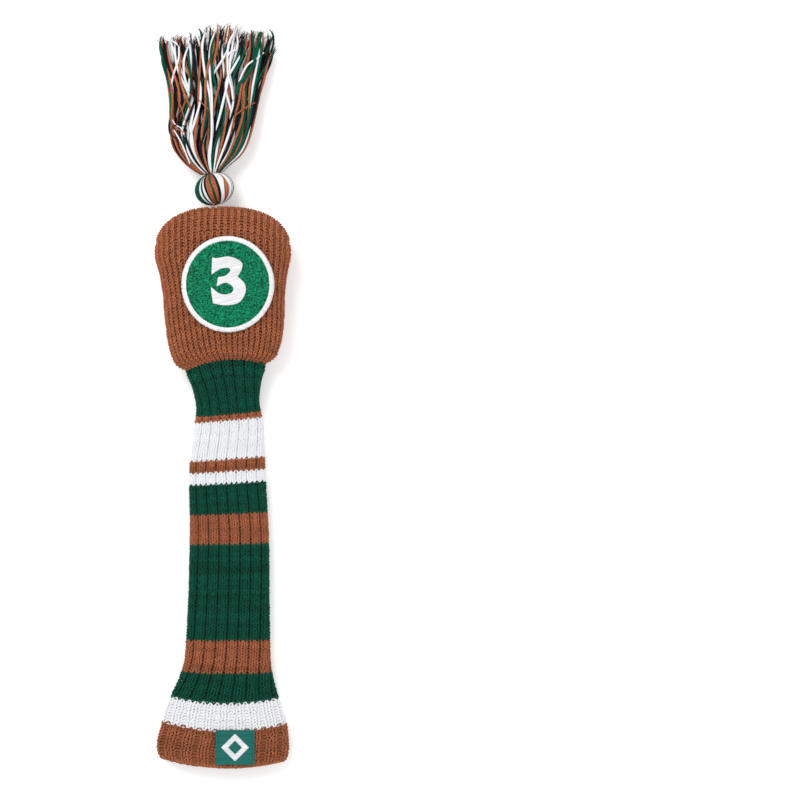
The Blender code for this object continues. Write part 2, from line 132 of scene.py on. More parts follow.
# %% [markdown]
# ## The shape of the cover
# A knitted tube is a stack of rows. A few stations give its half width, the middle of that
# width, its half thickness and the height of its underside, and a smooth curve joins them. The
# same sizes made the CAD rings, so yarn laid on this surface lies exactly on the frame.

# %% Stations
COURSE = 2.357 * MM  # height of one knitted row
NECK_ROWS, HEM_ROWS = 18, 12
BANDS = (  # node, rows, yarn, from the neck down
    ("neck_rib", NECK_ROWS, "green"),
    ("stripe_tan_1", 2, "tan"),
    ("stripe_white_1", 13, "white"),
    ("stripe_tan_2", 4, "tan"),
    ("stripe_white_2", 4, "white"),
    ("stripe_green_1", 10, "green"),
    ("stripe_tan_3", 10, "tan"),
    ("stripe_green_2", 32, "green"),
    ("stripe_tan_4", 11, "tan"),
    ("stripe_green_3", 10, "green"),
    ("stripe_white_3", 9, "white"),
    ("hem_cuff", HEM_ROWS, "tan"),
)
SLEEVE_ROWS = sum(rows for _, rows, _ in BANDS)
HEAD_HALF_THICK = 25.0 * MM
SIDE_HEIGHT, CROWN_HEIGHT = 82.7 * MM, 37.1 * MM
HEAD_LENGTH = SIDE_HEIGHT + CROWN_HEIGHT
CROWN_POWER, CROWN_PUFF, SECTION_POWER = 2.4, 1.8, 2.3
JOIN_HALF_WIDTH = 31.2 * MM
SINK = 0.9 * MM
JOIN_BOW, HEM_BOW = 6.0 * MM, 6.5 * MM
CROWN_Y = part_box("head_pocket")[1].y
JOIN_Y = CROWN_Y - HEAD_LENGTH
RIDGE_Z = HEAD_HALF_THICK - SINK

# By row down the sock: half width, middle, half thickness, underside, in millimetres.
SLEEVE_STATIONS = np.array([
    (0, 31.2, 2.0, 15.0, 4.0), (7, 27.1, 2.6, 13.5, 2.0), (15, 25.2, 3.4, 12.5, 0.4),
    (22, 27.6, 4.0, 11.2, -0.9), (36, 30.3, 2.8, 10.5, -0.9), (60, 31.6, 4.4, 10.5, -0.9),
    (98, 33.9, 3.2, 10.5, -0.9), (106, 36.8, 2.2, 10.5, -0.9), (114, 42.8, 1.0, 11.0, -0.9),
    (124, 49.3, 0.6, 11.5, -0.9), (131, 51.9, -0.6, 11.5, -0.9), (133.6, 51.1, -0.7, 11.5, -0.9),
    (135, 49.3, -0.8, 11.5, -0.9),
])  # fmt: skip
# By height above the neck: the same, in millimetres.
HEAD_STATIONS = np.array([
    (0, 31.2, 2.0, 15.0, 4.0), (2.5, 37.0, 2.4, 17.5, 2.0), (6, 41.0, 2.0, 20.0, 0.6),
    (16, 45.0, 1.6, 22.5, -0.9), (31, 47.2, 1.2, 24.0, -0.9), (50, 48.2, 0.8, 25.0, -0.9),
    (66, 50.3, 0.3, 25.0, -0.9), (82.7, 53.8, 0.0, 25.0, -0.9),
])  # fmt: skip
ROW_TILT = np.array([(0, 0.09), (30, 0.055), (70, 0.0), (135, -0.03)])
print(SLEEVE_ROWS, "rows in the sock; the neck joins the pocket at y =", round(JOIN_Y, 4))

# %% [markdown]
# The stations are joined by curves that never overshoot, so a narrow place stays narrow.

# %% Smooth curves through the stations
def slopes(places, values):
    """Slopes that keep a curve through the values from overshooting."""
    steps = np.diff(values) / np.diff(places)
    slope = np.zeros(len(places))
    both = steps[:-1] * steps[1:] > 0
    total = np.where(both, steps[:-1] + steps[1:], 1)
    slope[1:-1] = np.where(both, 2 * steps[:-1] * steps[1:] / total, 0)
    return slope


def between(stations, column, at):
    """A station value at any places, as an array."""
    places, values = stations[:, 0], stations[:, column]
    at = np.clip(at, places[0], places[-1])
    i = np.clip(np.searchsorted(places, at, side="right") - 1, 0, len(places) - 2)
    span = places[i + 1] - places[i]
    t = (at - places[i]) / span
    slope = slopes(places, values)
    return (
        values[i] * (1 + 2 * t) * (1 - t) ** 2
        + values[i + 1] * t * t * (3 - 2 * t)
        + slope[i] * span * t * (1 - t) ** 2
        - slope[i + 1] * span * t * t * (1 - t)
    )


def ease(t):
    t = np.clip(t, 0, 1)
    return t * t * (3 - 2 * t)


print("half width at the neck's narrowest row, mm:", between(SLEEVE_STATIONS, 1, 15))

# %% [markdown]
# A row isn't straight: it tilts a little to one side, and bows at the neck and at the hem.

# %% Sections and rows
def section(height):
    """Half width, middle, half thickness and underside, in metres, at heights above the neck."""
    row, up = -height / COURSE, height / MM
    values = [
        np.where(height < 0, between(SLEEVE_STATIONS, c, row), between(HEAD_STATIONS, c, up)) * MM
        for c in (1, 2, 3, 4)
    ]
    half_width, middle, half_thick, under = values
    share = np.clip((height - SIDE_HEIGHT) / CROWN_HEIGHT, 0, 1)
    half_width = half_width * (1 - share**CROWN_POWER) ** (1 / CROWN_POWER)
    half_thick = half_thick * (1 - share**CROWN_POWER) ** (1 / CROWN_PUFF)
    under = np.where(height > SIDE_HEIGHT, RIDGE_Z - half_thick, under)
    return half_width, middle, half_thick, under


def row_shift(height, x, middle, half_width):
    """How far a row at x lies above its place in the middle of the cover."""
    across, row = (x - middle) / half_width, -height / COURSE
    fade = 1 - ease(height / JOIN_HALF_WIDTH)
    in_head = fade * (ROW_TILT[0, 1] * (x - middle) - JOIN_BOW * across**2)
    bow = HEM_BOW * ease((row - 98) / 26) - JOIN_BOW * (1 - ease(row / NECK_ROWS))
    in_sock = between(ROW_TILT, 1, row) * (x - middle) + bow * across**2
    return np.where(height >= 0, in_head, in_sock)


def around(angle):
    """The cover's unit section: across and up, each from -1 to 1."""
    power = 2 / SECTION_POWER
    across = np.sign(np.cos(angle)) * np.abs(np.cos(angle)) ** power
    return across, np.sign(np.sin(angle)) * np.abs(np.sin(angle)) ** power


print("half width at the widest place:", section(np.array(SIDE_HEIGHT))[0])

# %% [markdown]
# ### A surface that yarn can be laid on
# Rows and wales are the natural coordinates of knitting: a wale is a column of loops. Each
# surface here turns (turn, row) into a point and an outward direction. `turn` runs once about
# the cover from the seam in its back, and `row` counts down from the neck join, or up the
# head. Arc length keeps the wales even.

# %% Surfaces by row and turn
class Surface:
    """A grid of points, by row and by turn, read at any place between."""

    def __init__(self, points, rows, outside=1):
        self.points, self.rows = points, rows
        along = np.gradient(points, axis=0)
        closed = np.concatenate([points[:, -2:-1], points, points[:, 1:2]], axis=1)
        across = np.gradient(closed, axis=1)[:, 1:-1]
        normals = np.cross(along, across) * outside
        self.normals = normals / np.maximum(np.linalg.norm(normals, axis=2, keepdims=True), 1e-12)
        self.girth = np.linalg.norm(np.diff(points, axis=1), axis=2).sum(axis=1)

    def _read(self, grid, turn, row):
        place = np.interp(row, self.rows, np.arange(len(self.rows)))
        a = np.clip(place, 0, grid.shape[0] - 1.001)
        b = np.clip(turn, 0, 1) * (grid.shape[1] - 1.001)
        i, j = a.astype(int), b.astype(int)
        f, g = (a - i)[..., None], (b - j)[..., None]
        low = grid[i, j] * (1 - g) + grid[i, j + 1] * g
        high = grid[i + 1, j] * (1 - g) + grid[i + 1, j + 1] * g
        return low * (1 - f) + high * f

    def at(self, turn, row, lift=0.0):
        normal = self._read(self.normals, turn, row)
        normal /= np.maximum(np.linalg.norm(normal, axis=-1, keepdims=True), 1e-9)
        return self._read(self.points, turn, row) + normal * np.asarray(lift)[..., None]

    def girth_at(self, row):
        return np.interp(row, self.rows, self.girth)


def box_of(node):
    """The middle and the half size of a CAD node."""
    low, high = (np.array(corner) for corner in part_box(node))
    return (low + high) / 2, (high - low) / 2


TURNS = 720
YARN_DEPTH = 2.1 * MM  # from the outside of the fabric to the middle of its yarn
SEAM_X = box_of("back_seam")[0][0]


def run_along(points):
    """How far along a line each of its points lies."""
    return np.concatenate([[0], np.cumsum(np.linalg.norm(np.diff(points, axis=0), axis=1))])


def read_line(points, run, places):
    """A line whose points lie at `run`, read at other places."""
    return np.stack([np.interp(places, run, points[:, k]) for k in range(3)], axis=1)


def even_spacing(points, count):
    """The same line with its points at even distances."""
    run = run_along(points)
    return read_line(points, run, np.linspace(0, run[-1], count))


def ring_at(height, inset):
    """One row of the cover as a line from the back seam round to itself."""
    half_width, middle, half_thick, under = section(np.array(height))
    share = np.clip((SEAM_X - middle) / (half_width - inset), -0.6, 0.6)
    start = -math.pi / 2 + math.copysign(math.asin(abs(share) ** (SECTION_POWER / 2)), share)
    across, up = around(np.linspace(start, start + 2 * math.pi, 1441))
    x = middle + (half_width - inset) * across
    y = JOIN_Y + height + row_shift(height, x, middle, half_width)
    z = np.maximum(under + half_thick + (half_thick - inset) * up, inset)
    return even_spacing(np.stack([x, y, z], axis=1), TURNS + 1)


sock_rows = np.arange(-2, SLEEVE_ROWS + 2.01, 0.5)
sock = Surface(np.array([ring_at(-row * COURSE, YARN_DEPTH) for row in sock_rows]), sock_rows, -1)
print("girth at the neck, middle and mouth, mm:", np.round(sock.girth_at([15, 80, 134]) / MM))

# %% [markdown]
# The pocket is a straight bag whose top edge is sewn shut, so above its widest place the wales
# stay upright and end at the ridge, and the rows crowd together at the corners.

# %% The pocket's surface
HEAD_ROWS = 50
CROWD = 1.6  # more crowds the rows nearer the ridge


def pocket_surface(inset):
    low = np.array([ring_at(h, inset) for h in np.linspace(0, SIDE_HEIGHT, 48)])
    half_width, middle, _, _ = section(np.array(SIDE_HEIGHT))
    column_x = low[-1, :, 0]
    share = np.clip(np.abs(column_x - middle) / (half_width - inset), 0, 1)
    end = SIDE_HEIGHT + (CROWN_HEIGHT - inset) * (1 - share**CROWN_POWER) ** (1 / CROWN_POWER)
    front = np.where(low[-1, :, 2] > RIDGE_Z, 1, -1)
    high = []
    for step in np.linspace(0, 1, 49)[1:]:
        height = SIDE_HEIGHT + (end - SIDE_HEIGHT) * math.sin(math.pi / 2 * step)
        wide, _, thick, under = section(height)
        across = np.clip(share * (half_width - inset) / np.maximum(wide - inset, MM), 0, 1)
        bulge = np.maximum(thick - inset, 0) * (1 - across**SECTION_POWER) ** (1 / SECTION_POWER)
        bulge *= math.cos(math.pi / 2 * step) ** 0.15 if step < 1 else 0
        z = np.maximum(under + thick + front * bulge, inset)
        high.append(np.stack([column_x, JOIN_Y + height, z], axis=1))
    columns = np.concatenate([low, high]).transpose(1, 0, 2)
    lengths = np.linalg.norm(np.diff(columns, axis=1), axis=2).sum(axis=1)
    whole = lengths.max()
    share = np.linspace(0, 1, 161)
    grid = []
    for column, length in zip(columns, lengths):
        places = whole * share - (whole - length) * share**CROWD
        grid.append(read_line(column, run_along(column), places))
    return Surface(np.array(grid).transpose(1, 0, 2), share * HEAD_ROWS)


pocket = pocket_surface(YARN_DEPTH)
row_height = float(pocket.points[-1, TURNS // 2, 1] - JOIN_Y) / HEAD_ROWS
print("one row of the pocket, mm:", round(row_height / MM, 2))

# %% [markdown]
# ## Yarn
# Geometry Nodes sweeps a round section along each yarn's path, so every stitch is solid. Each
# swept mesh also carries its own map, along the yarn and round it, and two numbers per point:
# `hue`, which changes slowly from yarn to yarn and is set a little lower on the sock as painted
# shade, and `deep`, which is 1 at the bottom of a groove and sets how much painted shade is there.

# %% The sweep
def sweep_nodes():
    group = bpy.data.node_groups.new("swept_yarn", "GeometryNodeTree")
    face = group.interface
    face.new_socket("Geometry", in_out="INPUT", socket_type="NodeSocketGeometry")
    for name, kind in (("Yarn radius", "Float"), ("Sides", "Int"), ("Material", "Material")):
        face.new_socket(name, in_out="INPUT", socket_type=f"NodeSocket{kind}")
    face.new_socket("Geometry", in_out="OUTPUT", socket_type="NodeSocketGeometry")
    given, result = group.nodes.new("NodeGroupInput"), group.nodes.new("NodeGroupOutput")
    thick, line, circle, radius, swept, smooth, real, paint = (
        group.nodes.new(f"GeometryNode{kind}")
        for kind in (
            "InputNamedAttribute", "MeshToCurve", "CurvePrimitiveCircle", "SetCurveRadius",
            "CurveToMesh", "SetShadeSmooth", "RealizeInstances", "SetMaterial",
        )
    )  # fmt: skip
    thick.data_type = "FLOAT"
    thick.inputs["Name"].default_value = "thick"
    swept.inputs["Fill Caps"].default_value = True
    links = [
        (given, "Geometry", line, 0), (line, 0, radius, "Curve"), (thick, "Attribute", radius, "Radius"),
        (radius, 0, swept, "Curve"), (given, "Yarn radius", circle, "Radius"),
        (given, "Sides", circle, "Resolution"), (circle, 0, swept, "Profile Curve"),
        (swept, 0, smooth, 0), (smooth, 0, real, 0), (real, 0, paint, 0),
        (given, "Material", paint, "Material"), (paint, 0, result, 0),
    ]  # fmt: skip
    if "Scale" in swept.inputs:
        links.append((thick, "Attribute", swept, "Scale"))
    for source, output, target, entry in links:
        group.links.new(source.outputs[output], target.inputs[entry])
    return group


SWEEP = sweep_nodes()


def sweep(paths, radius, sides, finish, thick=None):
    """Points, corners and face sizes of a swept mesh. Each path is one closed tube."""
    mesh = bpy.data.meshes.new("yarn_path")
    points = np.concatenate(paths)
    edges, start = [], 0
    for path in paths:
        index = np.arange(start, start + len(path) - 1)
        edges.append(np.stack([index, index + 1], axis=1))
        start += len(path)
    edges = np.concatenate(edges)
    mesh.vertices.add(len(points))
    mesh.vertices.foreach_set("co", points.astype(np.float32).ravel())
    mesh.edges.add(len(edges))
    mesh.edges.foreach_set("vertices", edges.astype(np.int32).ravel())
    share = np.ones(len(points)) if thick is None else np.concatenate(thick)
    mesh.attributes.new("thick", "FLOAT", "POINT").data.foreach_set("value", share.astype(np.float32))
    guide = bpy.data.objects.new("yarn_path", mesh)
    scene.collection.objects.link(guide)
    modifier = guide.modifiers.new("sweep", "NODES")
    modifier.node_group = SWEEP
    for name, value in (("Yarn radius", radius), ("Sides", sides), ("Material", finish)):
        modifier[SWEEP.interface.items_tree[name].identifier] = value
    graph = bpy.context.evaluated_depsgraph_get()
    swept = bpy.data.meshes.new_from_object(guide.evaluated_get(graph))
    made = np.empty(len(swept.vertices) * 3, np.float32)
    swept.vertices.foreach_get("co", made)
    loops = np.empty(len(swept.loops), np.int32)
    swept.loops.foreach_get("vertex_index", loops)
    sizes = np.empty(len(swept.polygons), np.int32)
    swept.polygons.foreach_get("loop_total", sizes)
    bpy.data.objects.remove(guide)
    bpy.data.meshes.remove(swept)
    bpy.data.meshes.remove(mesh)
    return made.reshape(-1, 3).astype(float), loops, sizes


print("nodes in the sweep:", len(SWEEP.nodes))

# %% [markdown]
# ## Knitting
# A stitch is eight points of yarn: up one leg of the loop, over its head and down the other. In
# a knit stitch the legs lie in front, in a purl stitch behind. The yarn goes round and round in
# one long spiral, so a stripe starts and stops with a jog of one row at the back seam.

# %% The path of the yarn
POINTS = 8
LOOP_BULGE = 0.30  # how far the legs lean, as a share of the wale
rng = np.random.default_rng(3)


class Rib(NamedTuple):
    """A repeat of knit and purl wales round the cover."""

    repeats: int
    knits: int
    purls: int
    share: float  # of a repeat's width, one knit wale
    widest: float  # that a knit wale gets
    rise: float  # of the knit wales over the fabric
    groove: float  # depth of the purl wales, closed up
    open_groove: float  # and pulled open
    open_pitch: tuple  # widths of a repeat where it starts to open and is open
    leg: float  # how far the legs stand before the loop's ends
    reach: float  # half the height of a loop, in rows
    uneven: float  # how much one stitch differs from the next


SOCK_RIB = Rib(
    repeats=16, knits=2, purls=2, share=0.45, widest=5.0 * MM, rise=1.0 * MM, groove=1.7 * MM,
    open_groove=0.35 * MM, open_pitch=(9.2 * MM, 12.0 * MM), leg=0.7 * MM, reach=0.70, uneven=0.05,
)  # fmt: skip
POCKET_RIB = Rib(
    repeats=48, knits=1, purls=1, share=0.62, widest=9 * MM, rise=0.35 * MM, groove=0.75 * MM,
    open_groove=0.75 * MM, open_pitch=(9 * MM, 10 * MM), leg=0.8 * MM, reach=0.60, uneven=0.07,
)  # fmt: skip


print("wales in the sock:", SOCK_RIB.repeats * (SOCK_RIB.knits + SOCK_RIB.purls))


def wander(count, size, every=1):
    """Small smooth changes along a yarn, one value for each stitch."""
    knots = rng.normal(0, size, count // every + 3)
    return np.interp(np.arange(count + 1) / every, np.arange(len(knots)), knots)


def knit(surface, rib, first, rows, up, radius):
    """Points of one spiral of yarn, and how deep each lies, which sets its painted groove shade. `up` is 1
    where rows count upwards.
    """
    around_it = rib.repeats * (rib.knits + rib.purls)
    count = rows * around_it
    point = np.arange(count * POINTS + 1)
    stitch = point // POINTS
    t = (point % POINTS) * (2 * math.pi / POINTS)
    place = stitch % around_it
    repeat, wale = place // (rib.knits + rib.purls), place % (rib.knits + rib.purls)
    line = first + stitch / around_it
    pitch = surface.girth_at(line) / rib.repeats
    knit_wide = np.minimum(rib.share, rib.widest / pitch)
    purl_wide = (1 - rib.knits * knit_wide) / rib.purls
    is_knit = wale < rib.knits
    wide = np.where(is_knit, knit_wide, purl_wide)
    start = np.where(is_knit, wale * knit_wide, rib.knits * knit_wide + (wale - rib.knits) * purl_wide)
    within = t / (2 * math.pi) + LOOP_BULGE * np.sin(2 * t)
    across = start + wide * (within + wander(count, rib.uneven)[stitch])
    turn = (repeat + across) / rib.repeats
    reach = rib.reach * (1 + wander(count, rib.uneven)[stitch])
    drift = wander(count, 0.05, 3)[stitch] + wander(count, 0.05, around_it // 2)[stitch]
    row = first + stitch // around_it + turn - up * reach * np.cos(t) + drift
    side = np.where(is_knit, 1.0, -1.0)
    before = np.where((wale == 0) | (wale == rib.knits), 0.0, side)
    side = np.where(t == 0, before, side)
    ripple = -side * rib.leg * np.cos(2 * t)
    swell = np.sin(math.pi * np.clip(across / (rib.knits * knit_wide), 0, 1)) ** 0.6
    beyond = np.clip((across - rib.knits * knit_wide) / (rib.purls * purl_wide), 0, 1)
    hollow = np.sin(math.pi * beyond) ** 0.6
    opened = ease((pitch - rib.open_pitch[0]) / (rib.open_pitch[1] - rib.open_pitch[0]))
    groove = rib.groove + (rib.open_groove - rib.groove) * opened
    level = np.where(is_knit, rib.rise * swell, -groove * hollow)
    lift = level + ripple + wander(count, 2 * rib.uneven * MM)[stitch]
    points = surface.at(turn, row, lift)
    points[:, 2] = np.maximum(points[:, 2], 1.02 * radius)
    # How deep each point lies sets its painted groove shade, less where the ribbing is pulled open.
    return points, np.clip((rib.rise + 0.5 * rib.leg - lift) / (2 * MM), 0, 1) * (1 - 0.45 * opened)


def tube_under(surface, lines, lifts, floor, around=144, raised=0.0):
    """A closed tube under a surface: one face down the lines, then the other back up. `raised` is
    the height of the small lozenges on both."""
    turns, grid = np.linspace(0, 1, around + 1)[:-1], []
    for some, lift in ((lines, lifts[0]), (lines[::-1], lifts[1])):
        for line in some:
            lozenge = np.sin(turns * math.pi * 12 + line * 0.3) * np.sin(turns * math.pi * 12 - line * 0.3)
            height = lift + raised * (np.abs(lozenge) - 0.5)
            grid.append(surface.at(turns, np.full(around, line), height))
    points = np.array(grid)
    points[..., 2] = np.maximum(points[..., 2], floor)
    a = np.arange(len(grid))[:, None] * around + np.arange(around)[None]
    b = np.roll(a, -1, axis=1)
    faces = np.stack([a, b, np.roll(b, -1, axis=0), np.roll(a, -1, axis=0)], axis=2).reshape(-1, 4)
    return points.reshape(-1, 3), faces

# %% [markdown]
# The swept mesh gets a map of its own: strips of yarn stacked one above another, so that every
# stretch of yarn has its own place in the baked colours.

# %% Making an object from yarn
STRIP = 512  # points of yarn in one strip of the map
MAP_EDGE = 0.1


def strip_map(counts, sides):
    """The map of swept tubes: strips of yarn stacked one above the other, then the caps."""
    along, strip = [], []
    strips = 0
    for count in counts:
        index = np.arange(count - 1)
        along.append(index % STRIP)
        strip.append(strips + index // STRIP)
        strips += (count - 2) // STRIP + 1
    along, strip = np.repeat(np.concatenate(along), sides), np.repeat(np.concatenate(strip), sides)
    side = np.tile(np.arange(sides), len(along) // sides)
    longest = min(max(counts) - 1, STRIP)
    u = np.stack([along, along, along + 1, along + 1], axis=1) / longest
    low, high = side / sides, (side + 1) / sides
    v = np.stack([low, high, high, low], axis=1) * (1 - 2 * MAP_EDGE) + MAP_EDGE
    return np.stack([u, (v + strip[:, None]) / (strips + 1)], axis=2).reshape(-1, 2), strips


def add_object(name, points, loops, sizes, finish, uv, numbers=()):
    """A plain mesh object with its map and its numbers for each point."""
    mesh = bpy.data.meshes.new(name)
    mesh.vertices.add(len(points))
    mesh.vertices.foreach_set("co", points.astype(np.float32).ravel())
    mesh.loops.add(len(loops))
    mesh.loops.foreach_set("vertex_index", loops.astype(np.int32))
    mesh.polygons.add(len(sizes))
    starts = np.concatenate([[0], np.cumsum(sizes)[:-1]])
    mesh.polygons.foreach_set("loop_start", starts.astype(np.int32))
    mesh.polygons.foreach_set("loop_total", sizes.astype(np.int32))
    mesh.update(calc_edges=True)
    mesh.uv_layers.new(name="OFBake").data.foreach_set("uv", uv.astype(np.float32).ravel())
    for key, values in numbers:
        mesh.attributes.new(key, "FLOAT", "POINT").data.foreach_set("value", values.astype(np.float32))
    mesh.shade_smooth()
    mesh.materials.append(finish)
    made = bpy.data.objects.new(name, mesh)
    scene.collection.objects.link(made)
    return made


def yarn_object(name, paths, radius, finish, hue, deep=None, sides=5, thick=None, backing=None):
    """Swept yarns as one object, with a backing of plain quads where one is given; the backing is painted
    with the full groove shade.
    """
    points, loops, sizes = sweep(paths, radius, sides, finish, thick)
    counts = [len(path) for path in paths]
    uv, strips = strip_map(counts, sides)
    caps = len(loops) - len(uv)
    spot = np.tile([[0.02, (strips + 0.2) / (strips + 1)]], (caps, 1))
    uv = np.concatenate([uv, spot])
    hues = np.repeat(np.concatenate(hue), sides)
    groove_shade_share = np.repeat(np.zeros(len(hues) // sides) if deep is None else np.concatenate(deep), sides)
    if backing is not None:
        more, faces = backing
        loops = np.concatenate([loops, (faces + len(points)).ravel()])
        sizes = np.concatenate([sizes, np.full(len(faces), 4)])
        square = np.array([[0, 0], [1, 0], [1, 1], [0, 1]]) * (0.8 / (strips + 1))
        uv = np.concatenate([uv, np.tile(square + [0.1, (strips + 0.1) / (strips + 1)], (len(faces), 1))])
        points = np.concatenate([points, more])
        hues = np.concatenate([hues, np.zeros(len(more))])
        # The backing gets the full painted groove shade, so the gaps between stitches show painted dark.
        groove_shade_share = np.concatenate([groove_shade_share, np.ones(len(more))])
    return add_object(name, points, loops, sizes, finish, uv, (("hue", hues), ("deep", groove_shade_share)))


print("points of yarn in one strip of the map:", STRIP)

# %% [markdown]
# ## Colours
# Tan, dark green and white wool, all with short soft fibres. The grooves of the ribbing hold
# less light than the tops, so `deep` darkens them a little more.

# %% Nodes that every finish shares
BRIGHTEST = 0.93


def linear(colour):
    """An sRGB colour of 0 to 255 as the renderer's linear values."""
    return [c / 255 / 12.92 if c < 11 else ((c / 255 + 0.055) / 1.055) ** 2.4 for c in colour]


class Finish:
    """A material and its nodes. An input takes a plain value or another node's output."""

    def __init__(self, name, roughness=0.9, sheen=0.0, tint=(1, 1, 1)):
        self.material = bpy.data.materials.new(name)
        self.material.use_nodes = True
        self.shader = self.material.node_tree.nodes["Principled BSDF"]
        self.put(self.shader, {
            "Roughness": roughness, "Specular IOR Level": 0.15,
            "Sheen Weight": sheen, "Sheen Roughness": 0.45, "Sheen Tint": (*tint, 1),
        })  # fmt: skip

    def put(self, node, inputs):
        for name, value in inputs.items():
            if isinstance(value, bpy.types.NodeSocket):
                self.material.node_tree.links.new(value, node.inputs[name])
            else:
                node.inputs[name].default_value = value
        return node

    def add(self, kind, inputs, **settings):
        node = self.material.node_tree.nodes.new(f"ShaderNode{kind}")
        for name, value in settings.items():
            setattr(node, name, value)
        return self.put(node, inputs)

    def number(self, name):
        return self.add("Attribute", {}, attribute_name=name).outputs["Fac"]

    def grain(self, scale):
        place = self.add("TexCoord", {}).outputs["Object"]
        return self.add("TexNoise", {"Vector": place, "Scale": scale, "Detail": 2}).outputs["Fac"]

    def spread(self, value, low, high, to_low=0, to_high=1):
        ends = {"From Min": low, "From Max": high, "To Min": to_low, "To Max": to_high}
        return self.add("MapRange", {"Value": value, **ends}).outputs["Result"]

    def shades(self, value, base, dark, light, ends=(0.3, 0.7)):
        """The base colour, from darker to lighter."""
        node = self.add("ValToRGB", {"Fac": value})
        low, high = node.color_ramp.elements
        low.position, high.position = ends
        low.color = (*[c * dark for c in base], 1)
        high.color = (*[min(BRIGHTEST, c * light) for c in base], 1)
        return node.outputs["Color"]

    def times(self, first, second, factor=1):
        inputs = {"Factor": factor, "A": first, "B": second}
        return self.add("Mix", inputs, data_type="RGBA", blend_type="MULTIPLY").outputs["Result"]

    def bump(self, height, strength, distance):
        inputs = {"Height": height, "Strength": strength, "Distance": distance}
        self.put(self.shader, {"Normal": self.add("Bump", inputs).outputs["Normal"]})


print("the brightest colour allowed:", BRIGHTEST)

# %% [markdown]
# Each wool has its colour, what is left of it under the painted shade at the bottom of a groove,
# how much it changes from fibre to fibre, and a painted glow, light of its own that lifts the
# shade of the white wool.

# %% Wool
YARNS = {
    "tan": ((172, 102, 69), 0.20, 0.45, 0.0),
    "green": ((5, 84, 64), 0.20, 0.55, 0.0),
    "white": ((217, 218, 221), 0.97, 0.06, 0.12),
    "navy": ((20, 20, 28), 0.5, 0.4, 0.0),
}


def wool(name, colour, shadow, fibre, painted_glow):
    """Wool whose colour changes a little from yarn to yarn and from fibre to fibre, with painted shade in
    its grooves and a painted glow where one is given.
    """
    base = linear(colour)
    finish = Finish(name, sheen=0.06, tint=[min(1, 0.5 + c) for c in base])
    fine = finish.grain(1100)
    shade = finish.shades(fine, base, 1 - fibre, 1 + 0.7 * fibre)
    tone = finish.spread(finish.number("hue"), -1, 1, 1 - 0.6 * fibre, 1 + 0.2 * fibre)
    # The colour is multiplied towards this where `deep` is 1: painted shade at the bottom of a groove.
    painted_shade_colour = (shadow, shadow, shadow, 1)
    # White wool gets a painted glow, light of its own that lifts its shade.
    finish.put(finish.shader, {
        "Base Color": finish.times(finish.times(shade, tone), painted_shade_colour, finish.number("deep")),
        "Emission Color": (0.97, 0.98, 1, 1), "Emission Strength": painted_glow,
    })  # fmt: skip
    finish.bump(fine, 0.35, 0.25 * MM)
    return finish.material


WOOL = {yarn: wool(f"{yarn}_wool", *look) for yarn, look in YARNS.items()}
print("wool:", ", ".join(WOOL))

# %% [markdown]
# ## The sock
# Each band of one colour is one object, and each follows its own CAD node.

# %% Knit the bands
YARN_RADIUS, POCKET_YARN_RADIUS = 0.84 * MM, 0.74 * MM
BACKING_DEPTH, POCKET_BACKING_DEPTH, BACKING_WALL = 1.1 * MM, 1.0 * MM, 0.3 * MM
TABLE_GAP = 0.4 * MM


def knitted(name, surface, rib, first, rows, up, yarn, depth, radius, tone):
    """A band of knitting, with a thin tube behind its stitches so that no light comes through; the tube is
    painted with the full groove shade, and `tone` shifts the band's whole colour as painted shade.
    """
    path, deep = knit(surface, rib, first, rows, up, radius)
    slow, quick = wander(len(path), 0.4, 700)[: len(path)], wander(len(path), 0.35, 60)[: len(path)]
    hue = np.clip(tone + slow + quick, -1, 1)
    lines = np.linspace(first, first + rows, rows + 1)
    backing = tube_under(surface, lines, (-depth, -depth - BACKING_WALL), TABLE_GAP, 192)
    made = yarn_object(name, [path], radius, WOOL[yarn], [hue], [deep], backing=backing)
    return made


def bend_with_neck(made):
    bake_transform(made)


first_row = 0
for node, rows, yarn in BANDS:
    name = f"{node}_yarn"
    # The sock's yarn gets a tone of -0.3 and the pocket's 0.3: painted shade that makes the sock darker,
    # for its deeper grooves.
    band = knitted(name, sock, SOCK_RIB, first_row, rows, -1, yarn, BACKING_DEPTH, YARN_RADIUS, -0.3)
    if node == "neck_rib":
        bend_with_neck(band)
    else:
        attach(band, "sock")
    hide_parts(node)
    first_row += rows
    print(band.name, len(band.data.polygons), "faces")

# %% [markdown]
# ## The pocket
# Single ribbing, one knit wale and one purl wale by turns, in three parts so that no one mesh
# grows too heavy.

# %% Knit the pocket
POCKET_PARTS = (("pocket_low_yarn", 0, 17), ("pocket_middle_yarn", 17, 17), ("pocket_top_yarn", 34, 16))
for name, first, rows in POCKET_PARTS:
    part = knitted(
        name, pocket, POCKET_RIB, first, rows, 1, "tan", POCKET_BACKING_DEPTH, POCKET_YARN_RADIUS, 0.3
    )
    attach(part, "cover")
    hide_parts("head_pocket")
    print(name, len(part.data.polygons), "faces")

# %% [markdown]
# ## Embroidery
# The badge, its number and the hem label are stitched in shiny thread: rows of running thread
# fill an outline, and dip where each stitch enters the cloth.

# %% Lay outlines and threads on the front
def front_z(x, y):
    """Height of the cover's upper surface over places on the table."""
    height = y - JOIN_Y
    for _ in range(6):
        half_width, middle, half_thick, under = section(height)
        height = y - JOIN_Y - row_shift(height, x, middle, half_width)
    across = np.minimum(np.abs(x - middle) / half_width, 0.98)
    return under + half_thick * (1 + (1 - across**SECTION_POWER) ** (1 / SECTION_POWER))


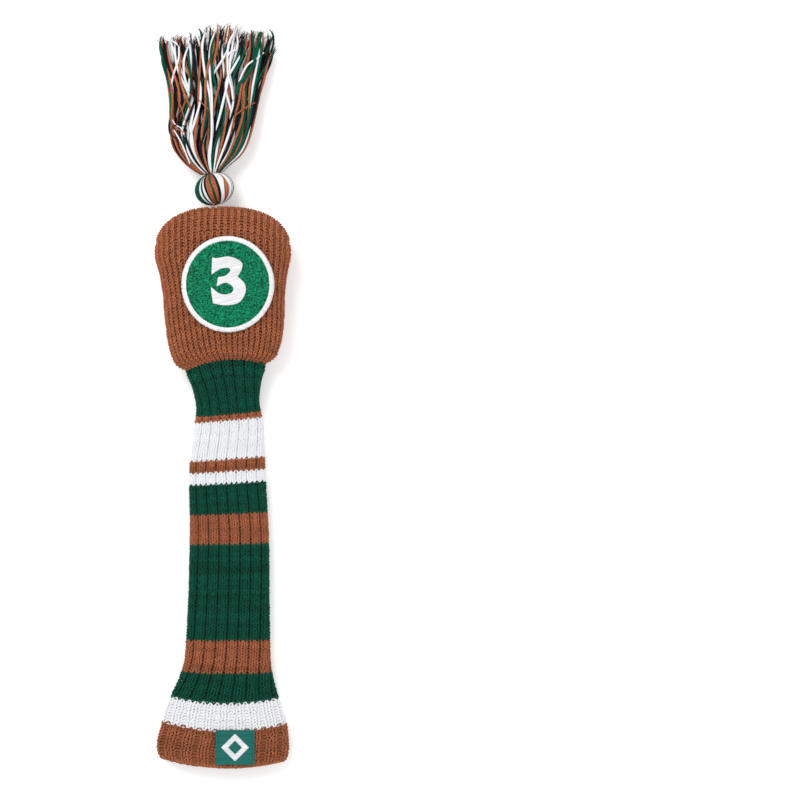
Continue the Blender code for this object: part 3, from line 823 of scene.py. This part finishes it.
def patch(name, outline, under, over, finish, cell):
    """An outline laid on the cover as a closed sheet, from one height over its surface to another."""
    bm = bmesh.new()
    face = bm.faces.new([bm.verts.new((x, y, 0)) for x, y in outline])
    face.normal_update()
    bmesh.ops.triangulate(bm, faces=[face])
    for axis in (0, 1):
        low, high = min(p[axis] for p in outline), max(p[axis] for p in outline)
        count = max(1, round((high - low) / cell))
        for k in range(1, count):
            place, normal = [0, 0, 0], [0, 0, 0]
            place[axis], normal[axis] = low + (high - low) * k / count, 1
            everything = bm.verts[:] + bm.edges[:] + bm.faces[:]
            bmesh.ops.bisect_plane(bm, geom=everything, dist=1e-6, plane_co=place, plane_no=normal)
    co = np.array([v.co for v in bm.verts])
    for vert, z in zip(bm.verts, front_z(co[:, 0], co[:, 1])):
        vert.co.z = z + under
    made = bmesh.ops.extrude_face_region(bm, geom=bm.faces[:])
    tops = [item for item in made["geom"] if isinstance(item, bmesh.types.BMVert)]
    bmesh.ops.translate(bm, verts=tops, vec=(0, 0, over - under))
    bmesh.ops.recalc_face_normals(bm, faces=bm.faces)
    mesh = bpy.data.meshes.new(name)
    bm.to_mesh(mesh)
    bm.free()
    mesh.shade_smooth()
    mesh.set_sharp_from_angle(angle=math.radians(40))
    mesh.materials.append(finish)
    made = bpy.data.objects.new(name, mesh)
    scene.collection.objects.link(made)
    return made


def fill_threads(outline, spacing, stitch, lift, slant=0.0, dip=0.25 * MM, holes=()):
    """Rows of running thread inside an outline, each stitch a shallow arch."""
    turn = np.array([[math.cos(slant), -math.sin(slant)], [math.sin(slant), math.cos(slant)]])
    loops = [np.asarray(loop) @ turn for loop in (outline, *holes)]
    shape = np.array([0, 0.12, 0.5, 0.88])
    arch = np.array([0, 0.8, 1.0, 0.8])
    paths = []
    low, high = loops[0][:, 1].min(), loops[0][:, 1].max()
    for y in np.arange(low + spacing / 2, high, spacing):
        crossings = []
        for loop in loops:
            after = np.roll(loop, -1, axis=0)
            cut = (loop[:, 1] > y) != (after[:, 1] > y)
            a, b = loop[cut], after[cut]
            crossings += list(a[:, 0] + (y - a[:, 1]) / (b[:, 1] - a[:, 1]) * (b[:, 0] - a[:, 0]))
        crossings.sort()
        for x0, x1 in zip(crossings[::2], crossings[1::2]):
            if x1 - x0 < 0.8 * MM:
                continue
            shift = rng.random()
            first = math.floor(x0 / stitch - shift)
            knots = (np.arange(first, math.ceil(x1 / stitch - shift) + 1)[:, None] + shape).ravel()
            x = (knots + shift) * stitch
            height = np.tile(arch, len(x) // 4)
            inside = (x > x0 + 0.1 * MM) & (x < x1 - 0.1 * MM)
            x = np.concatenate([[x0], x[inside], [x1]])
            height = np.concatenate([[0], height[inside], [0]])
            wobble = rng.normal(0, 0.04 * MM, len(x))
            flat = np.stack([x, np.full(len(x), y) + wobble], axis=1) @ turn.T
            z = front_z(flat[:, 0], flat[:, 1]) + lift - dip * (1 - height)
            paths.append(np.column_stack([flat, z]))
    return paths


def satin(inner, outer, lift, bulge, points=6):
    """Threads side by side from one outline to another, each a low arch."""
    paths = []
    share = np.linspace(0, 1, points)
    for a, b in zip(inner, outer):
        jitter = rng.normal(0, 0.12 * MM, 2)
        along = (b - a) / np.linalg.norm(b - a)
        start, end = a - along * jitter[0], b + along * jitter[1]
        line = start + np.outer(share, end - start)
        z = front_z(line[:, 0], line[:, 1]) + lift + bulge * np.sin(math.pi * share) ** 0.7
        paths.append(np.column_stack([line, z]))
    return paths


def hues(paths, spread=0.45, patches=0.45, every=4):
    """One tone for each yarn, and slow changes along it."""
    return [
        np.clip(rng.normal(0, spread) + wander(len(path), patches, every)[: len(path)], -1, 1)
        for path in paths
    ]


def thread(name, colour, roughness, mottle=0.0):
    """Smooth embroidery thread, a little lighter and darker from thread to thread, and mottled by a noise.
    """
    finish = Finish(name, roughness, 0.05)
    hue = finish.spread(finish.number("hue"), -1, 1)
    shades = finish.shades(hue, linear(colour), 0.72, 1.22, (0, 1))
    spots = finish.spread(finish.grain(800), 0.35, 0.65, 1 - mottle, 1 + mottle)
    finish.put(finish.shader, {"Anisotropic": 0.4, "Base Color": finish.times(shades, spots)})
    return finish.material


def felt(name, colour, spread=0.25, scale=900):
    """Pressed cloth, mottled from fibre to fibre."""
    finish = Finish(name, 0.95, 0.05)
    grain = finish.grain(scale)
    shades = finish.shades(grain, linear(colour), 1 - spread, 1 + spread)
    finish.put(finish.shader, {"Base Color": shades})
    finish.bump(grain, 0.4, 0.2 * MM)
    return finish.material


def place_piece(made, slot, body, node=None):
    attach(made, body)
    if node:
        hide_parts(node)
    return made


BADGE_GREEN = thread("badge_green_thread", (12, 128, 88), 0.8, mottle=0.8)
WHITE_THREAD = thread("white_thread", (246, 246, 250), 0.6)
LABEL_GREEN = thread("label_green_thread", (34, 116, 108), 0.4)
BACKING_GREEN = felt("green_backing", (14, 92, 62))
BACKING_WHITE = felt("white_backing", (222, 224, 232))
LABEL_BACKING = felt("label_backing", (22, 90, 82))
print("threads and cloths are mixed")

# %% [markdown]
# The badge is a disc of fill stitches with a satin border, and a bold three stitched over it.

# %% Badge
(BADGE_X, BADGE_Y, _), BADGE_HALF = box_of("badge_border")
BADGE_BORDER = 4.0 * MM
BADGE_LIFT, BADGE_TOP = 0.5 * MM, 1.7 * MM
THREAD_RADIUS = 0.24 * MM
PATCH_CELL = 4 * MM


def badge_ring(inset, count):
    angle = np.linspace(0, 2 * math.pi, count, endpoint=False)
    x = BADGE_X + (BADGE_HALF[0] - inset) * np.cos(angle)
    return np.stack([x, BADGE_Y + (BADGE_HALF[1] - inset) * np.sin(angle)], axis=1)


def numeral_outline():
    """A bold three with flared ends. Places are in hundredths of its width and height; a run of
    places between two corners is a smooth curve."""
    runs = (
        ((4, 98), (17, 96.5), (52, 100), (85, 90), (88, 76), (75, 59)),
        ((75, 59), (96, 44), (98, 26), (80, 6), (42, 0), (6, 4)),
        ((6, 4), (0, 36)),
        ((0, 36), (20, 24), (42, 20.5), (62, 26), (65, 37), (47, 47), (30, 45), (17, 39.5)),
        ((17, 39.5), (21, 57)),
        ((21, 57), (42, 60), (57, 71), (50, 78), (30, 77), (13, 71), (2, 64.5)),
        ((2, 64.5), (4, 98)),
    )
    outline = []
    for run in runs:
        steps = 6 if len(run) > 2 else 12
        for i in range(len(run) - 1):
            before, after = np.array(run[max(i - 1, 0)]), np.array(run[min(i + 2, len(run) - 1)])
            a, b = np.array(run[i]), np.array(run[i + 1])
            leave, arrive = ((b - before) / 2, (after - a) / 2) if len(run) > 2 else (b - a, b - a)
            for t in np.arange(steps) / steps:
                place = a * (1 + 2 * t) * (1 - t) ** 2 + b * t * t * (3 - 2 * t)
                outline.append(place + leave * t * (1 - t) ** 2 - arrive * t * t * (1 - t))
    low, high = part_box("numeral_3")
    return np.array(outline) / 100 * [high.x - low.x, high.y - low.y] + [low.x, low.y]


def stitched(name, paths, finish, slot, body, node, radius=THREAD_RADIUS, tones=None):
    made = yarn_object(name, paths, radius, finish, tones or hues(paths), sides=4)
    return place_piece(made, slot, body, node)


disc = badge_ring(BADGE_BORDER - 0.3 * MM, 96)
backing = patch("badge_backing", disc, BADGE_LIFT, BADGE_TOP - 0.25 * MM, BACKING_GREEN, PATCH_CELL)
place_piece(backing, "badge_felt", "cover", "badge_disc")
fills = fill_threads(badge_ring(BADGE_BORDER - 0.4 * MM, 180), 0.46 * MM, 2.3 * MM, BADGE_TOP, dip=0.3 * MM)
mottled = hues(fills, 0.08, 0.85, 3)
stitched("badge_fill", fills, BADGE_GREEN, "badge_felt", "cover", "badge_disc", tones=mottled)
border = satin(badge_ring(BADGE_BORDER, 560), badge_ring(0.1 * MM, 560), BADGE_TOP - 0.5 * MM, 0.9 * MM)
stitched("badge_satin_border", border, WHITE_THREAD, "badge_white", "cover", "badge_border", 0.3 * MM)
print(len(fills), "rows of fill,", len(border), "border threads")

# %% [markdown]
# The number is padded, filled with slanting thread and edged with a cord.

# %% Number
NUMBER = ("badge_white", "cover", "numeral_3")
numeral = numeral_outline()
padding = patch("numeral_padding", numeral, BADGE_TOP, BADGE_TOP + 0.7 * MM, BACKING_WHITE, PATCH_CELL)
place_piece(padding, *NUMBER)
number_fill = fill_threads(numeral, 0.42 * MM, 6 * MM, BADGE_TOP + 0.85 * MM, 0.25)
stitched("numeral_fill", number_fill, WHITE_THREAD, *NUMBER)
edge = np.vstack([numeral, numeral[:2]])
edge_path = np.column_stack([edge, front_z(*edge.T) + BADGE_TOP + 0.6 * MM])
stitched("numeral_edge", [edge_path], WHITE_THREAD, *NUMBER, 0.45 * MM)
print("rows of thread in the number:", len(number_fill))

# %% [markdown]
# The hem label is a small woven rectangle with a plain lozenge, sewn on along its edges.

# %% Hem label
LABEL = ("label_satin", "sock", "hem_label")
LABEL_LIFT = 0.5 * MM
label_middle, label_half = (part[:2] for part in box_of("hem_label"))
corners = np.array([(-1, -1), (1, -1), (1, 1), (-1, 1)])
following = np.roll(corners, -1, axis=0)
label = np.concatenate([np.linspace(a, b, 8, endpoint=False) for a, b in zip(corners, following)])
lozenge = np.array([(0, -0.8), (0.8, 0), (0, 0.8), (-0.8, 0)])
outline = label * label_half + label_middle
cloth = patch("label_cloth", outline, LABEL_LIFT, LABEL_LIFT + 0.7 * MM, LABEL_BACKING, PATCH_CELL)
place_piece(cloth, *LABEL)
weave = fill_threads(outline, 0.44 * MM, 30 * MM, LABEL_LIFT + 0.85 * MM, dip=0.1 * MM)
stitched("label_weave", weave, LABEL_GREEN, *LABEL)
outer_mark, inner_mark = (lozenge * label_half[1] * size + label_middle for size in (1.0, 0.5))
mark = fill_threads(outer_mark, 0.42 * MM, 2.4 * MM, LABEL_LIFT + 1.15 * MM, holes=(inner_mark,))
stitched("label_lozenge", mark, WHITE_THREAD, *LABEL)


def closely(line, count=200):
    """The same closed outline with many places on it."""
    whole = np.vstack([line, line[:1]])
    return even_spacing(np.column_stack([whole, np.zeros(len(whole))]), count)[:-1, :2]


fold = label * (label_half - 1.1 * MM) + label_middle
sewing = satin(closely(fold), closely(outline), LABEL_LIFT + 0.75 * MM, 0.35 * MM, 4)
stitched("label_overcast", sewing, LABEL_GREEN, *LABEL, 0.28 * MM)
print(len(weave), "threads in the label")

# %% [markdown]
# ## The tassel
# A ball of the cover's yarns laid from pole to pole, tied tight at its top, and a long skirt of
# the same yarns that swells like a lantern and ends in frayed tips.

# %% Ball
low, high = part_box("tassel_ball_wrap")
BALL, BALL_HALF = box_of("tassel_ball_wrap")
BALL_HALF_WIDTH, BALL_HALF_LENGTH = BALL_HALF[0], BALL[1] - low.y
STRAND_RADIUS = 0.92 * MM
PALETTE = {"t": "tan", "g": "green", "w": "white", "n": "navy"}
TASSEL_SLOTS = {yarn: f"tassel_yarn_{yarn}" for yarn in PALETTE.values()}
LOCKS = [f"tassel_lock_{k}" for k in range(1, 8)]
BALL_FRONT = "ggggggwgwnttgttnwwwttwwnwn"
BALL_BACK = "gnwttggwntwwgttnwggtnwtgwn"
POLE_LEAN = math.radians(15)


def ball_strands():
    """Each yarn of the ball as a line from near one pole to near the other."""
    order = BALL_FRONT + BALL_BACK
    made = {yarn: [] for yarn in PALETTE.values()}
    sides = np.linspace(0.13, math.pi - 0.13, 25)
    lean, rise = math.cos(POLE_LEAN), math.sin(POLE_LEAN)
    for k, letter in enumerate(order):
        turn = math.pi - 2 * math.pi * (k + 0.5) / len(order)
        turn = turn + 0.10 * np.sin(sides * 2 + k) * rng.normal(0, 0.5)
        radius = 1 - 1.3 * STRAND_RADIUS / BALL_HALF_WIDTH + rng.normal(0, 0.007)
        ring = np.sin(sides) * radius
        x, z = ring * np.cos(turn) * BALL_HALF_WIDTH, ring * np.sin(turn) * BALL_HALF_WIDTH
        y = -np.cos(sides) * radius * BALL_HALF_LENGTH
        leaning = np.array([x * lean - y * rise, x * rise + y * lean, z])
        made[PALETTE[letter]].append((leaning.T + BALL, 0.68 + 0.36 * np.sin(sides)))
    return made


def tassel_yarns(name, made, radius, sides, *nodes):
    """One object for each colour, from its paths and their thickness."""
    for yarn, some in made.items():
        paths, thick = (list(part) for part in zip(*some))
        piece = yarn_object(
            f"{name}_{yarn}_yarn", paths, radius, WOOL[yarn], hues(paths), thick=thick, sides=sides
        )
        place_piece(piece, TASSEL_SLOTS[yarn], "tassel")
        if nodes:
            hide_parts(*nodes)


tassel_yarns("ball", ball_strands(), 1.12 * MM, 7, "tassel_ball_wrap")
print("yarns round the ball:", len(BALL_FRONT) + len(BALL_BACK))

# %% [markdown]
# The skirt's strands share slow waves, so that they lie in clumps, and each also wanders on its
# own. The outermost follow the outline of the lantern.

# %% Skirt
low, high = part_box("tassel_binding")
BINDING = np.array([(low.x + high.x) / 2, low.y, (low.z + high.z) / 2])
SKIRT_Y = high.y
TIPS_Y = max(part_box(lock)[1].y for lock in LOCKS)
SKIRT_LENGTH = TIPS_Y - SKIRT_Y
# By distance from the binding: half width, middle, underside and top, in millimetres.
SKIRT_STATIONS = np.array([
    (-4, 8.2, -9.0, 10.0, 21.5), (-1, 14.0, -10.6, 7.0, 23.5), (3, 23.0, -11.6, 4.0, 26.0),
    (9, 27.9, -11.3, 1.5, 28.5), (16, 30.6, -10.9, 0.8, 30.0), (24, 33.2, -11.2, 0.5, 29.0),
    (34, 34.7, -10.5, 0.5, 27.0), (46, 35.9, -7.9, 0.5, 25.0), (60, 36.8, -7.0, 0.5, 22.0),
    (72, 39.4, -7.4, 0.5, 18.5), (84, 42.2, -5.6, 0.5, 15.0), (92, 44.2, -5.0, 0.5, 12.0),
    (104, 45.6, -5.0, 0.5, 9.0), (110, 46.0, -5.0, 0.5, 8.0),
])  # fmt: skip
FRONT_YARNS = "tttgngtntwnwgnwtngtwwgnwtwnnttggtgnwgnttt"
STEPS = 40
STEP_LENGTH = (SKIRT_LENGTH / MM + 4) / (STEPS - 1)
D = -4 + STEP_LENGTH * np.arange(STEPS)  # places down the skirt, in millimetres
THICKNESS = 0.58 + 0.42 * ease((D + 4) / 20)
TIP_LINE = np.array([  # how much of its length a strand reaches, from the left edge to the right
    (-1, 0.93), (-0.7, 0.92), (-0.4, 0.93), (-0.2, 0.99), (0.15, 1.0), (0.5, 0.98), (0.75, 0.97),
    (0.9, 0.92), (1, 0.83),
])  # fmt: skip


def lay_strands(across, up, waves, clumps, amounts):
    """Strands at the same places down the skirt. `across` is from -1 to 1 and `up` from 0 to 1."""
    half_width, middle, under, top = (between(SKIRT_STATIONS, c, D)[None] for c in (1, 2, 3, 4))
    q, v, wave, clump, amount = (np.asarray(a)[:, None] for a in (across, up, waves, clumps, amounts))
    loose = ease(D / 40)[None]
    sway = 2.4 * np.sin(D / 17 + clump) + 1.7 * np.sin(D / 9 + 2.6 * clump + wave)
    sway = sway + 0.8 * np.sin(D / 4.3 + 3 * wave)
    cross = loose * 0.10 * amount * np.sin(D / 24 + wave * 3)
    edge = np.sqrt(np.clip(1 - np.abs(q) ** 2.5, 0, 1))
    inward = 1 - 0.8 * np.abs(q) ** 3
    x = middle + (half_width - 1.1) * np.clip(q + cross, -1, 1) + loose * sway * amount * inward
    centre, room = (top + under) / 2, (top - under) / 2 - 1
    z = centre + room * edge * (2 * v - 1) + loose * 1.3 * amount * np.sin(D / 13 + wave * 5)
    return np.stack([x, z], axis=2)


def push_apart(lines, radius, rounds=26):
    """Moves strands that lie in each other until they rest side by side."""
    room = 2 * radius * THICKNESS[None, None]
    for _ in range(rounds):
        gap = lines[:, None] - lines[None]
        apart = np.linalg.norm(gap, axis=3)
        deep = np.clip(room - apart, 0, None) * (apart > 1e-6)
        push = (gap / np.maximum(apart, 0.2)[..., None] * deep[..., None]).sum(axis=1)
        lines = lines + 0.22 * np.clip(push, -2, 2)
        lines[:, 1:-1] = 0.6 * lines[:, 1:-1] + 0.2 * (lines[:, :-2] + lines[:, 2:])
        lines[..., 1] = np.maximum(lines[..., 1], 1.0)
    return lines


def skirt_strands():
    """The skirt's yarns by colour, with their thickness, and every yarn's tip."""
    front = len(FRONT_YARNS)
    q_front = np.sin(np.linspace(-1.45, 1.45, front)) / math.sin(1.45)
    inside = 165
    q = np.concatenate([q_front, rng.uniform(-0.88, 0.88, inside)])
    v = np.concatenate([rng.uniform(0.9, 1.0, front), rng.uniform(0.02, 0.92, inside)])
    wave = np.concatenate([rng.normal(0, 0.5, front), rng.normal(0, 1.5, inside)])
    clump = q * 2.4 + rng.normal(0, 0.22, len(q))
    amount = np.concatenate([rng.uniform(0.8, 1.4, front), rng.uniform(0.8, 2.0, inside)])
    letters = list(FRONT_YARNS) + list(rng.choice(list("tttggnnnnnww"), inside))
    lines = push_apart(lay_strands(q, v, wave, clump, amount), STRAND_RADIUS / MM)
    uneven = np.concatenate([0.05 * rng.random(front), 0.2 * rng.random(inside) ** 1.6])
    reach = between(TIP_LINE, 1, q) - uneven
    made = {yarn: [] for yarn in PALETTE.values()}
    tips = []
    for k, letter in enumerate(letters):
        count = max(8, round(reach[k] * STEPS))
        x, z = lines[k, :count].T
        dip = 0.13 * (x + 10) * (1 - ease((D[:count] + 4) / 16))  # the left side leaves the knot lower
        points = np.stack([x * MM, SKIRT_Y + (D[:count] + dip) * MM, z * MM], axis=1)
        thick = THICKNESS[:count] * (1 + 0.07 * np.sin(D[:count] / 3 + k))
        thick[-4:] *= [0.95, 0.88, 0.78, 0.6]
        made[PALETTE[letter]].append((points, thick))
        tips.append((letter, points[-1], points[-1] - points[-3]))
    return made, tips


strands, tips = skirt_strands()
tassel_yarns("skirt", strands, STRAND_RADIUS, 8, "tassel_bundle", *LOCKS)
print("strands in the skirt:", {yarn: len(some) for yarn, some in strands.items()})

# %% [markdown]
# A few strands lie across the front on their own: a dark curl, a white loop at the upper left,
# a white hook, and thin tan and white strands that cross the others.

# %% Strands that lie across the front
# Yarn, thickness and lift, then places in millimetres: across, and up from the binding.
LOOSE = (
    ("navy", 0.42, 1.6, [(-34.7 + 6.6 * math.sin(a / 3), 28.3 - 5.2 * math.cos(a / 3)) for a in range(20)]),
    ("tan", 0.5, 1.0, ((-39, 33.5), (-35, 30), (-28.5, 26.5))),
    ("white", 0.5, 1.0, ((-40, 38.5), (-37.5, 34.0), (-32.5, 30.5), (-29.5, 24.0))),
    ("white", 0.8, 1.4, (
        (-41.9, 59.4), (-38.8, 73.9), (-34.9, 88.4), (-35.2, 95.1), (-39.9, 99.8), (-46.6, 101.3),
    )),
    ("white", 0.8, 1.6, ((10.9, 93.0), (6.2, 91.7), (3.1, 86.8), (3.4, 75.9), (6.7, 61.4), (7.8, 53.1))),
    ("white", 0.8, 1.4, ((11.9, 65.6), (15.0, 73.9), (19.2, 81.1), (26.4, 86.3), (31.1, 91.0))),
    ("green", 1.5, 1.0, (
        (10.5, 56.0), (11.9, 64.5), (17.1, 70.8), (23.3, 81.1), (26.4, 94.6), (29.0, 107.0),
    )),
    ("tan", 0.45, 1.6, ((8.8, 39.7), (16.1, 45.9), (24.9, 51.1))),
    ("tan", 0.4, 1.6, ((-35.7, 54.2), (-32.6, 46.9), (-28.5, 33.5))),
    ("tan", 0.4, 1.6, ((-24.9, 57.3), (-30.6, 49.0), (-34.2, 42.8))),
    ("tan", 0.45, 1.6, ((-19.2, 53.1), (-10.9, 44.9))),
    ("white", 0.6, 1.2, ((-38.3, 29.3), (-31.6, 17.9), (-25.9, 3.4))),
)  # fmt: skip


def on_front(places, lift):
    """A smooth line through places on the front of the skirt."""
    places = np.array(places, float)
    run = run_along(places)
    stations = np.column_stack([run, places])
    at = np.linspace(0, run[-1], max(6, round(run[-1] / 1.6)))
    x, d = between(stations, 1, at), between(stations, 2, at)
    half_width, middle, under, top = (between(SKIRT_STATIONS, c, d) for c in (1, 2, 3, 4))
    edge = np.sqrt(np.clip(1 - np.clip(np.abs(x - middle) / half_width, 0, 1) ** 2.5, 0, 1))
    ends = np.clip(at / run[-1], 0.02, 0.98)
    dive = 4 * (1 - np.sin(math.pi * ends) ** 0.35)  # its ends lie under the others
    z = (top + under) / 2 + (top - under) / 2 * edge + lift - dive
    return np.stack([x * MM, SKIRT_Y + d * MM, z * MM], axis=1)


loose = {yarn: [] for yarn in PALETTE.values()}
for yarn, share, lift, places in LOOSE:
    path = on_front(places, lift)
    loose[yarn].append((path, np.full(len(path), share)))
tassel_yarns("loose", loose, STRAND_RADIUS, 8, "tassel_bundle")
print("strands across the front:", len(LOOSE))

# %% [markdown]
# Each tip frays into a few fine fibres.

# %% Frayed tips
FRAYS_EACH = 4
frays = {yarn: [] for yarn in PALETTE.values()}
share = np.linspace(0, 1, 5)[:, None]
for letter, tip, way in tips:
    way = way / np.linalg.norm(way)
    for _ in range(FRAYS_EACH):
        bend = rng.normal(0, 0.45, 3) * [1, 0.3, 0.8]
        length = rng.uniform(2.0, 6.0) * MM
        start = tip - way * 0.6 * MM + rng.normal(0, 0.25 * MM, 3)
        points = start + way * length * share + bend * length * share**2
        points[:, 1] = np.minimum(points[:, 1], TIPS_Y + 5 * MM)
        points[:, 2] = np.maximum(points[:, 2], TABLE_GAP)
        frays[PALETTE[letter]].append((points, np.linspace(1, 0.35, len(points))))
tassel_yarns("fray", frays, 0.3 * MM, 3)
print("fine fibres:", sum(map(len, frays.values())))

# %% [markdown]
# Tan yarn is wound three times round the neck of the tassel.

# %% Binding
BINDING_TURNS, BINDING_RADIUS = 3.2, 5.6 * MM
turns = np.linspace(0, BINDING_TURNS * 2 * math.pi, 110)
run = turns / turns[-1] * 3.2 * MM
winding = BINDING + np.stack([BINDING_RADIUS * np.cos(turns), run, BINDING_RADIUS * np.sin(turns)], axis=1)
binding = yarn_object("binding_yarn", [winding], 0.6 * MM, WOOL["tan"], hues([winding]), sides=7)
place_piece(binding, "tassel_yarn_tan", "tassel", "tassel_binding")
print("turns of the binding:", BINDING_TURNS)

# %% [markdown]
# ## Edges and seams
# The mouth ends in a cast-on edge, the pocket's top is sewn shut along its ridge, and the sock's
# back is closed by a ladder of stitches on its inside.

# %% Cast-on edge
EDGE_LOOPS, LOOP_POINTS = 132, 10
PLACES = 400  # along an edge before its yarn is wound


def unit(ways):
    return ways / np.linalg.norm(ways, axis=1, keepdims=True)


def coil(middle, out, up, loops, width, height):
    """Yarn wound along a line of points: `out` and `up` are the two ways across it."""
    count = loops * LOOP_POINTS + 1
    share = np.linspace(0, 1, count)
    at, angle = share * (len(middle) - 1), 2 * math.pi * loops * share[:, None]
    middle, out, up = (read_line(values, np.arange(len(values)), at) for values in (middle, out, up))
    size = 1 + wander(count, 0.08, LOOP_POINTS)[:count, None]
    return middle + size * (out * width * np.cos(angle) + up * height * np.sin(angle))


def tan_piece(name, paths, radius, slot, body, node, sides=6):
    made = yarn_object(name, paths, radius, WOOL["tan"], hues(paths, 0.2, 0.4, 6), sides=sides)
    return place_piece(made, slot, body, node)


turns, row = np.linspace(0, 1, PLACES), np.full(PLACES, SLEEVE_ROWS - 0.15)
brim = sock.at(turns, row, np.full(PLACES, -0.2 * MM))
outward = unit(sock.at(turns, row, np.full(PLACES, 0.8 * MM)) - brim)
along_y = np.tile([0.0, 1.0, 0.0], (PLACES, 1))
edge_yarn = coil(brim, outward, along_y, EDGE_LOOPS, 1.0 * MM, 0.9 * MM)
edge_yarn[:, 2] = np.maximum(edge_yarn[:, 2], 0.75 * MM)
tan_piece("mouth_edge_yarn", [edge_yarn], 0.7 * MM, "tan_knit", "sock", "hem_cuff")
print("cast-on loops:", EDGE_LOOPS)

# %% [markdown]
# The ridge is oversewn in two parts, because the tassel's cord comes out between them.

# %% Ridge seam and back seam
half_width, middle_x, _, _ = section(np.array(SIDE_HEIGHT))
across = np.sin(np.linspace(-1.32, 1.32, PLACES))
inset = 1.5 * MM
top = SIDE_HEIGHT + (CROWN_HEIGHT - inset) * (1 - np.abs(across) ** CROWN_POWER) ** (1 / CROWN_POWER)
ridge = np.stack([middle_x + (half_width - inset) * across, JOIN_Y + top, np.full(PLACES, RIDGE_Z)], axis=1)
ridge = even_spacing(ridge, PLACES)
way = np.gradient(ridge, axis=0)
outward = unit(np.stack([-way[:, 1], way[:, 0], 0 * way[:, 0]], axis=1))
seam_yarn = coil(ridge, outward, np.tile([0.0, 0.0, 1.0], (PLACES, 1)), 60, 1.0 * MM, 1.5 * MM)
beside_cord = np.abs(seam_yarn[:, 0] - box_of("cord_loop")[0][0]) < 3.2 * MM
seams = [seam_yarn[: np.argmax(beside_cord)], seam_yarn[len(seam_yarn) - np.argmax(beside_cord[::-1]) :]]
tan_piece("ridge_seam_yarn", seams, 0.62 * MM, "tan_knit", "cover", "head_pocket")

low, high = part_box("back_seam")
steps = np.arange(0, (high.y - low.y) / (2.4 * MM) * 8)
ladder = np.stack([
    SEAM_X + (high.x - low.x) / 2 * 0.8 * np.sin(steps * math.pi / 4),
    low.y + 1 * MM + (high.y - low.y - 2 * MM) * steps / steps[-1],
    (low.z + high.z) / 2 + 0.35 * MM * np.cos(steps * math.pi / 2),
], axis=1)  # fmt: skip
tan_piece("back_seam_yarn", [ladder], 0.4 * MM, "sewing_thread", "sock", "back_seam", 5)
print("seam points:", len(ladder))

# %% [markdown]
# ## Inside the cover
# A soft quilted lining lies inside the pocket, and a covered elastic inside the neck.

# %% Lining and elastic
LINING_ROWS = np.linspace(1.0, 43.0, 60)
LINING_LIFTS = (-3.4 * MM, -5.0 * MM)  # its two faces, from the middle of the yarn
ELASTIC_LIFTS = (-3.3 * MM, -4.1 * MM)
INSIDE_FLOOR = 3.6 * MM  # no lower than the inside of the knitting


def cloth_tube(name, surface, lines, lifts, raised, finish):
    points, faces = tube_under(surface, lines, lifts, INSIDE_FLOOR, raised=raised)
    square = np.array([[0, 0], [1, 0], [1, 1], [0, 1]]) * 0.96 + 0.02
    squares = np.tile(square, (len(faces), 1))
    return add_object(name, points, faces.ravel(), np.full(len(faces), 4), finish, squares)


LINING_CLOTH = felt("lining_cloth", (128, 92, 74))
lining = cloth_tube("pocket_lining", pocket, LINING_ROWS, LINING_LIFTS, 0.5 * MM, LINING_CLOTH)
place_piece(lining, "lining_knit", "cover", "head_lining")

RUBBER = felt("covered_elastic", (200, 196, 190), 0.1, 1500)
low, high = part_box("neck_elastic")
elastic_rows = np.linspace((JOIN_Y - high.y) / COURSE, (JOIN_Y - low.y) / COURSE, 24)
elastic = cloth_tube("neck_elastic_band", sock, elastic_rows, ELASTIC_LIFTS, 0.1 * MM, RUBBER)
bend_with_neck(elastic)
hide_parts("neck_elastic")
print("faces in the lining:", len(lining.data.polygons), " in the elastic:", len(elastic.data.polygons))

# %% [markdown]
# The tassel hangs from a short twisted cord, whose other end is knotted inside the crown. The
# bead inside the ball is plain wood.

# %% Cord, knot and bead
PLY_RADIUS = 0.42 * MM
cord_middle, _ = box_of("cord_loop")
run = np.linspace(-1, 1, 25)
plies = []
for turn in (0, math.pi):
    x, z = PLY_RADIUS * np.cos(run * 4 + turn), PLY_RADIUS * np.sin(run * 4 + turn)
    plies.append(cord_middle + np.stack([x, (0.7 + run) * MM, z], axis=1))
tan_piece("tassel_cord_yarn", plies, PLY_RADIUS, "sewing_thread", "tassel_cord", "cord_loop")

knot_middle, knot_half = box_of("cord_knot")
t = np.linspace(0.05, 2 * math.pi - 0.05, 80)
x, y = np.sin(t) + 2 * np.sin(2 * t), np.cos(t) - 2 * np.cos(2 * t)
tangle = np.stack([x, y, -1.4 * np.sin(3 * t)], axis=1)
knot_yarn = knot_middle + tangle * (knot_half[0] - 0.9 * MM) / 3
tan_piece("cord_knot_yarn", [knot_yarn], 0.8 * MM, "sewing_thread", "cover", "cord_knot")

WOOD = felt("turned_wood", (176, 132, 88), 0.2, 200)
core = bpy.data.objects["tassel_ball_core"].data
core.materials.clear()
core.materials.append(WOOD)
print("knot at", np.round(knot_middle, 3))
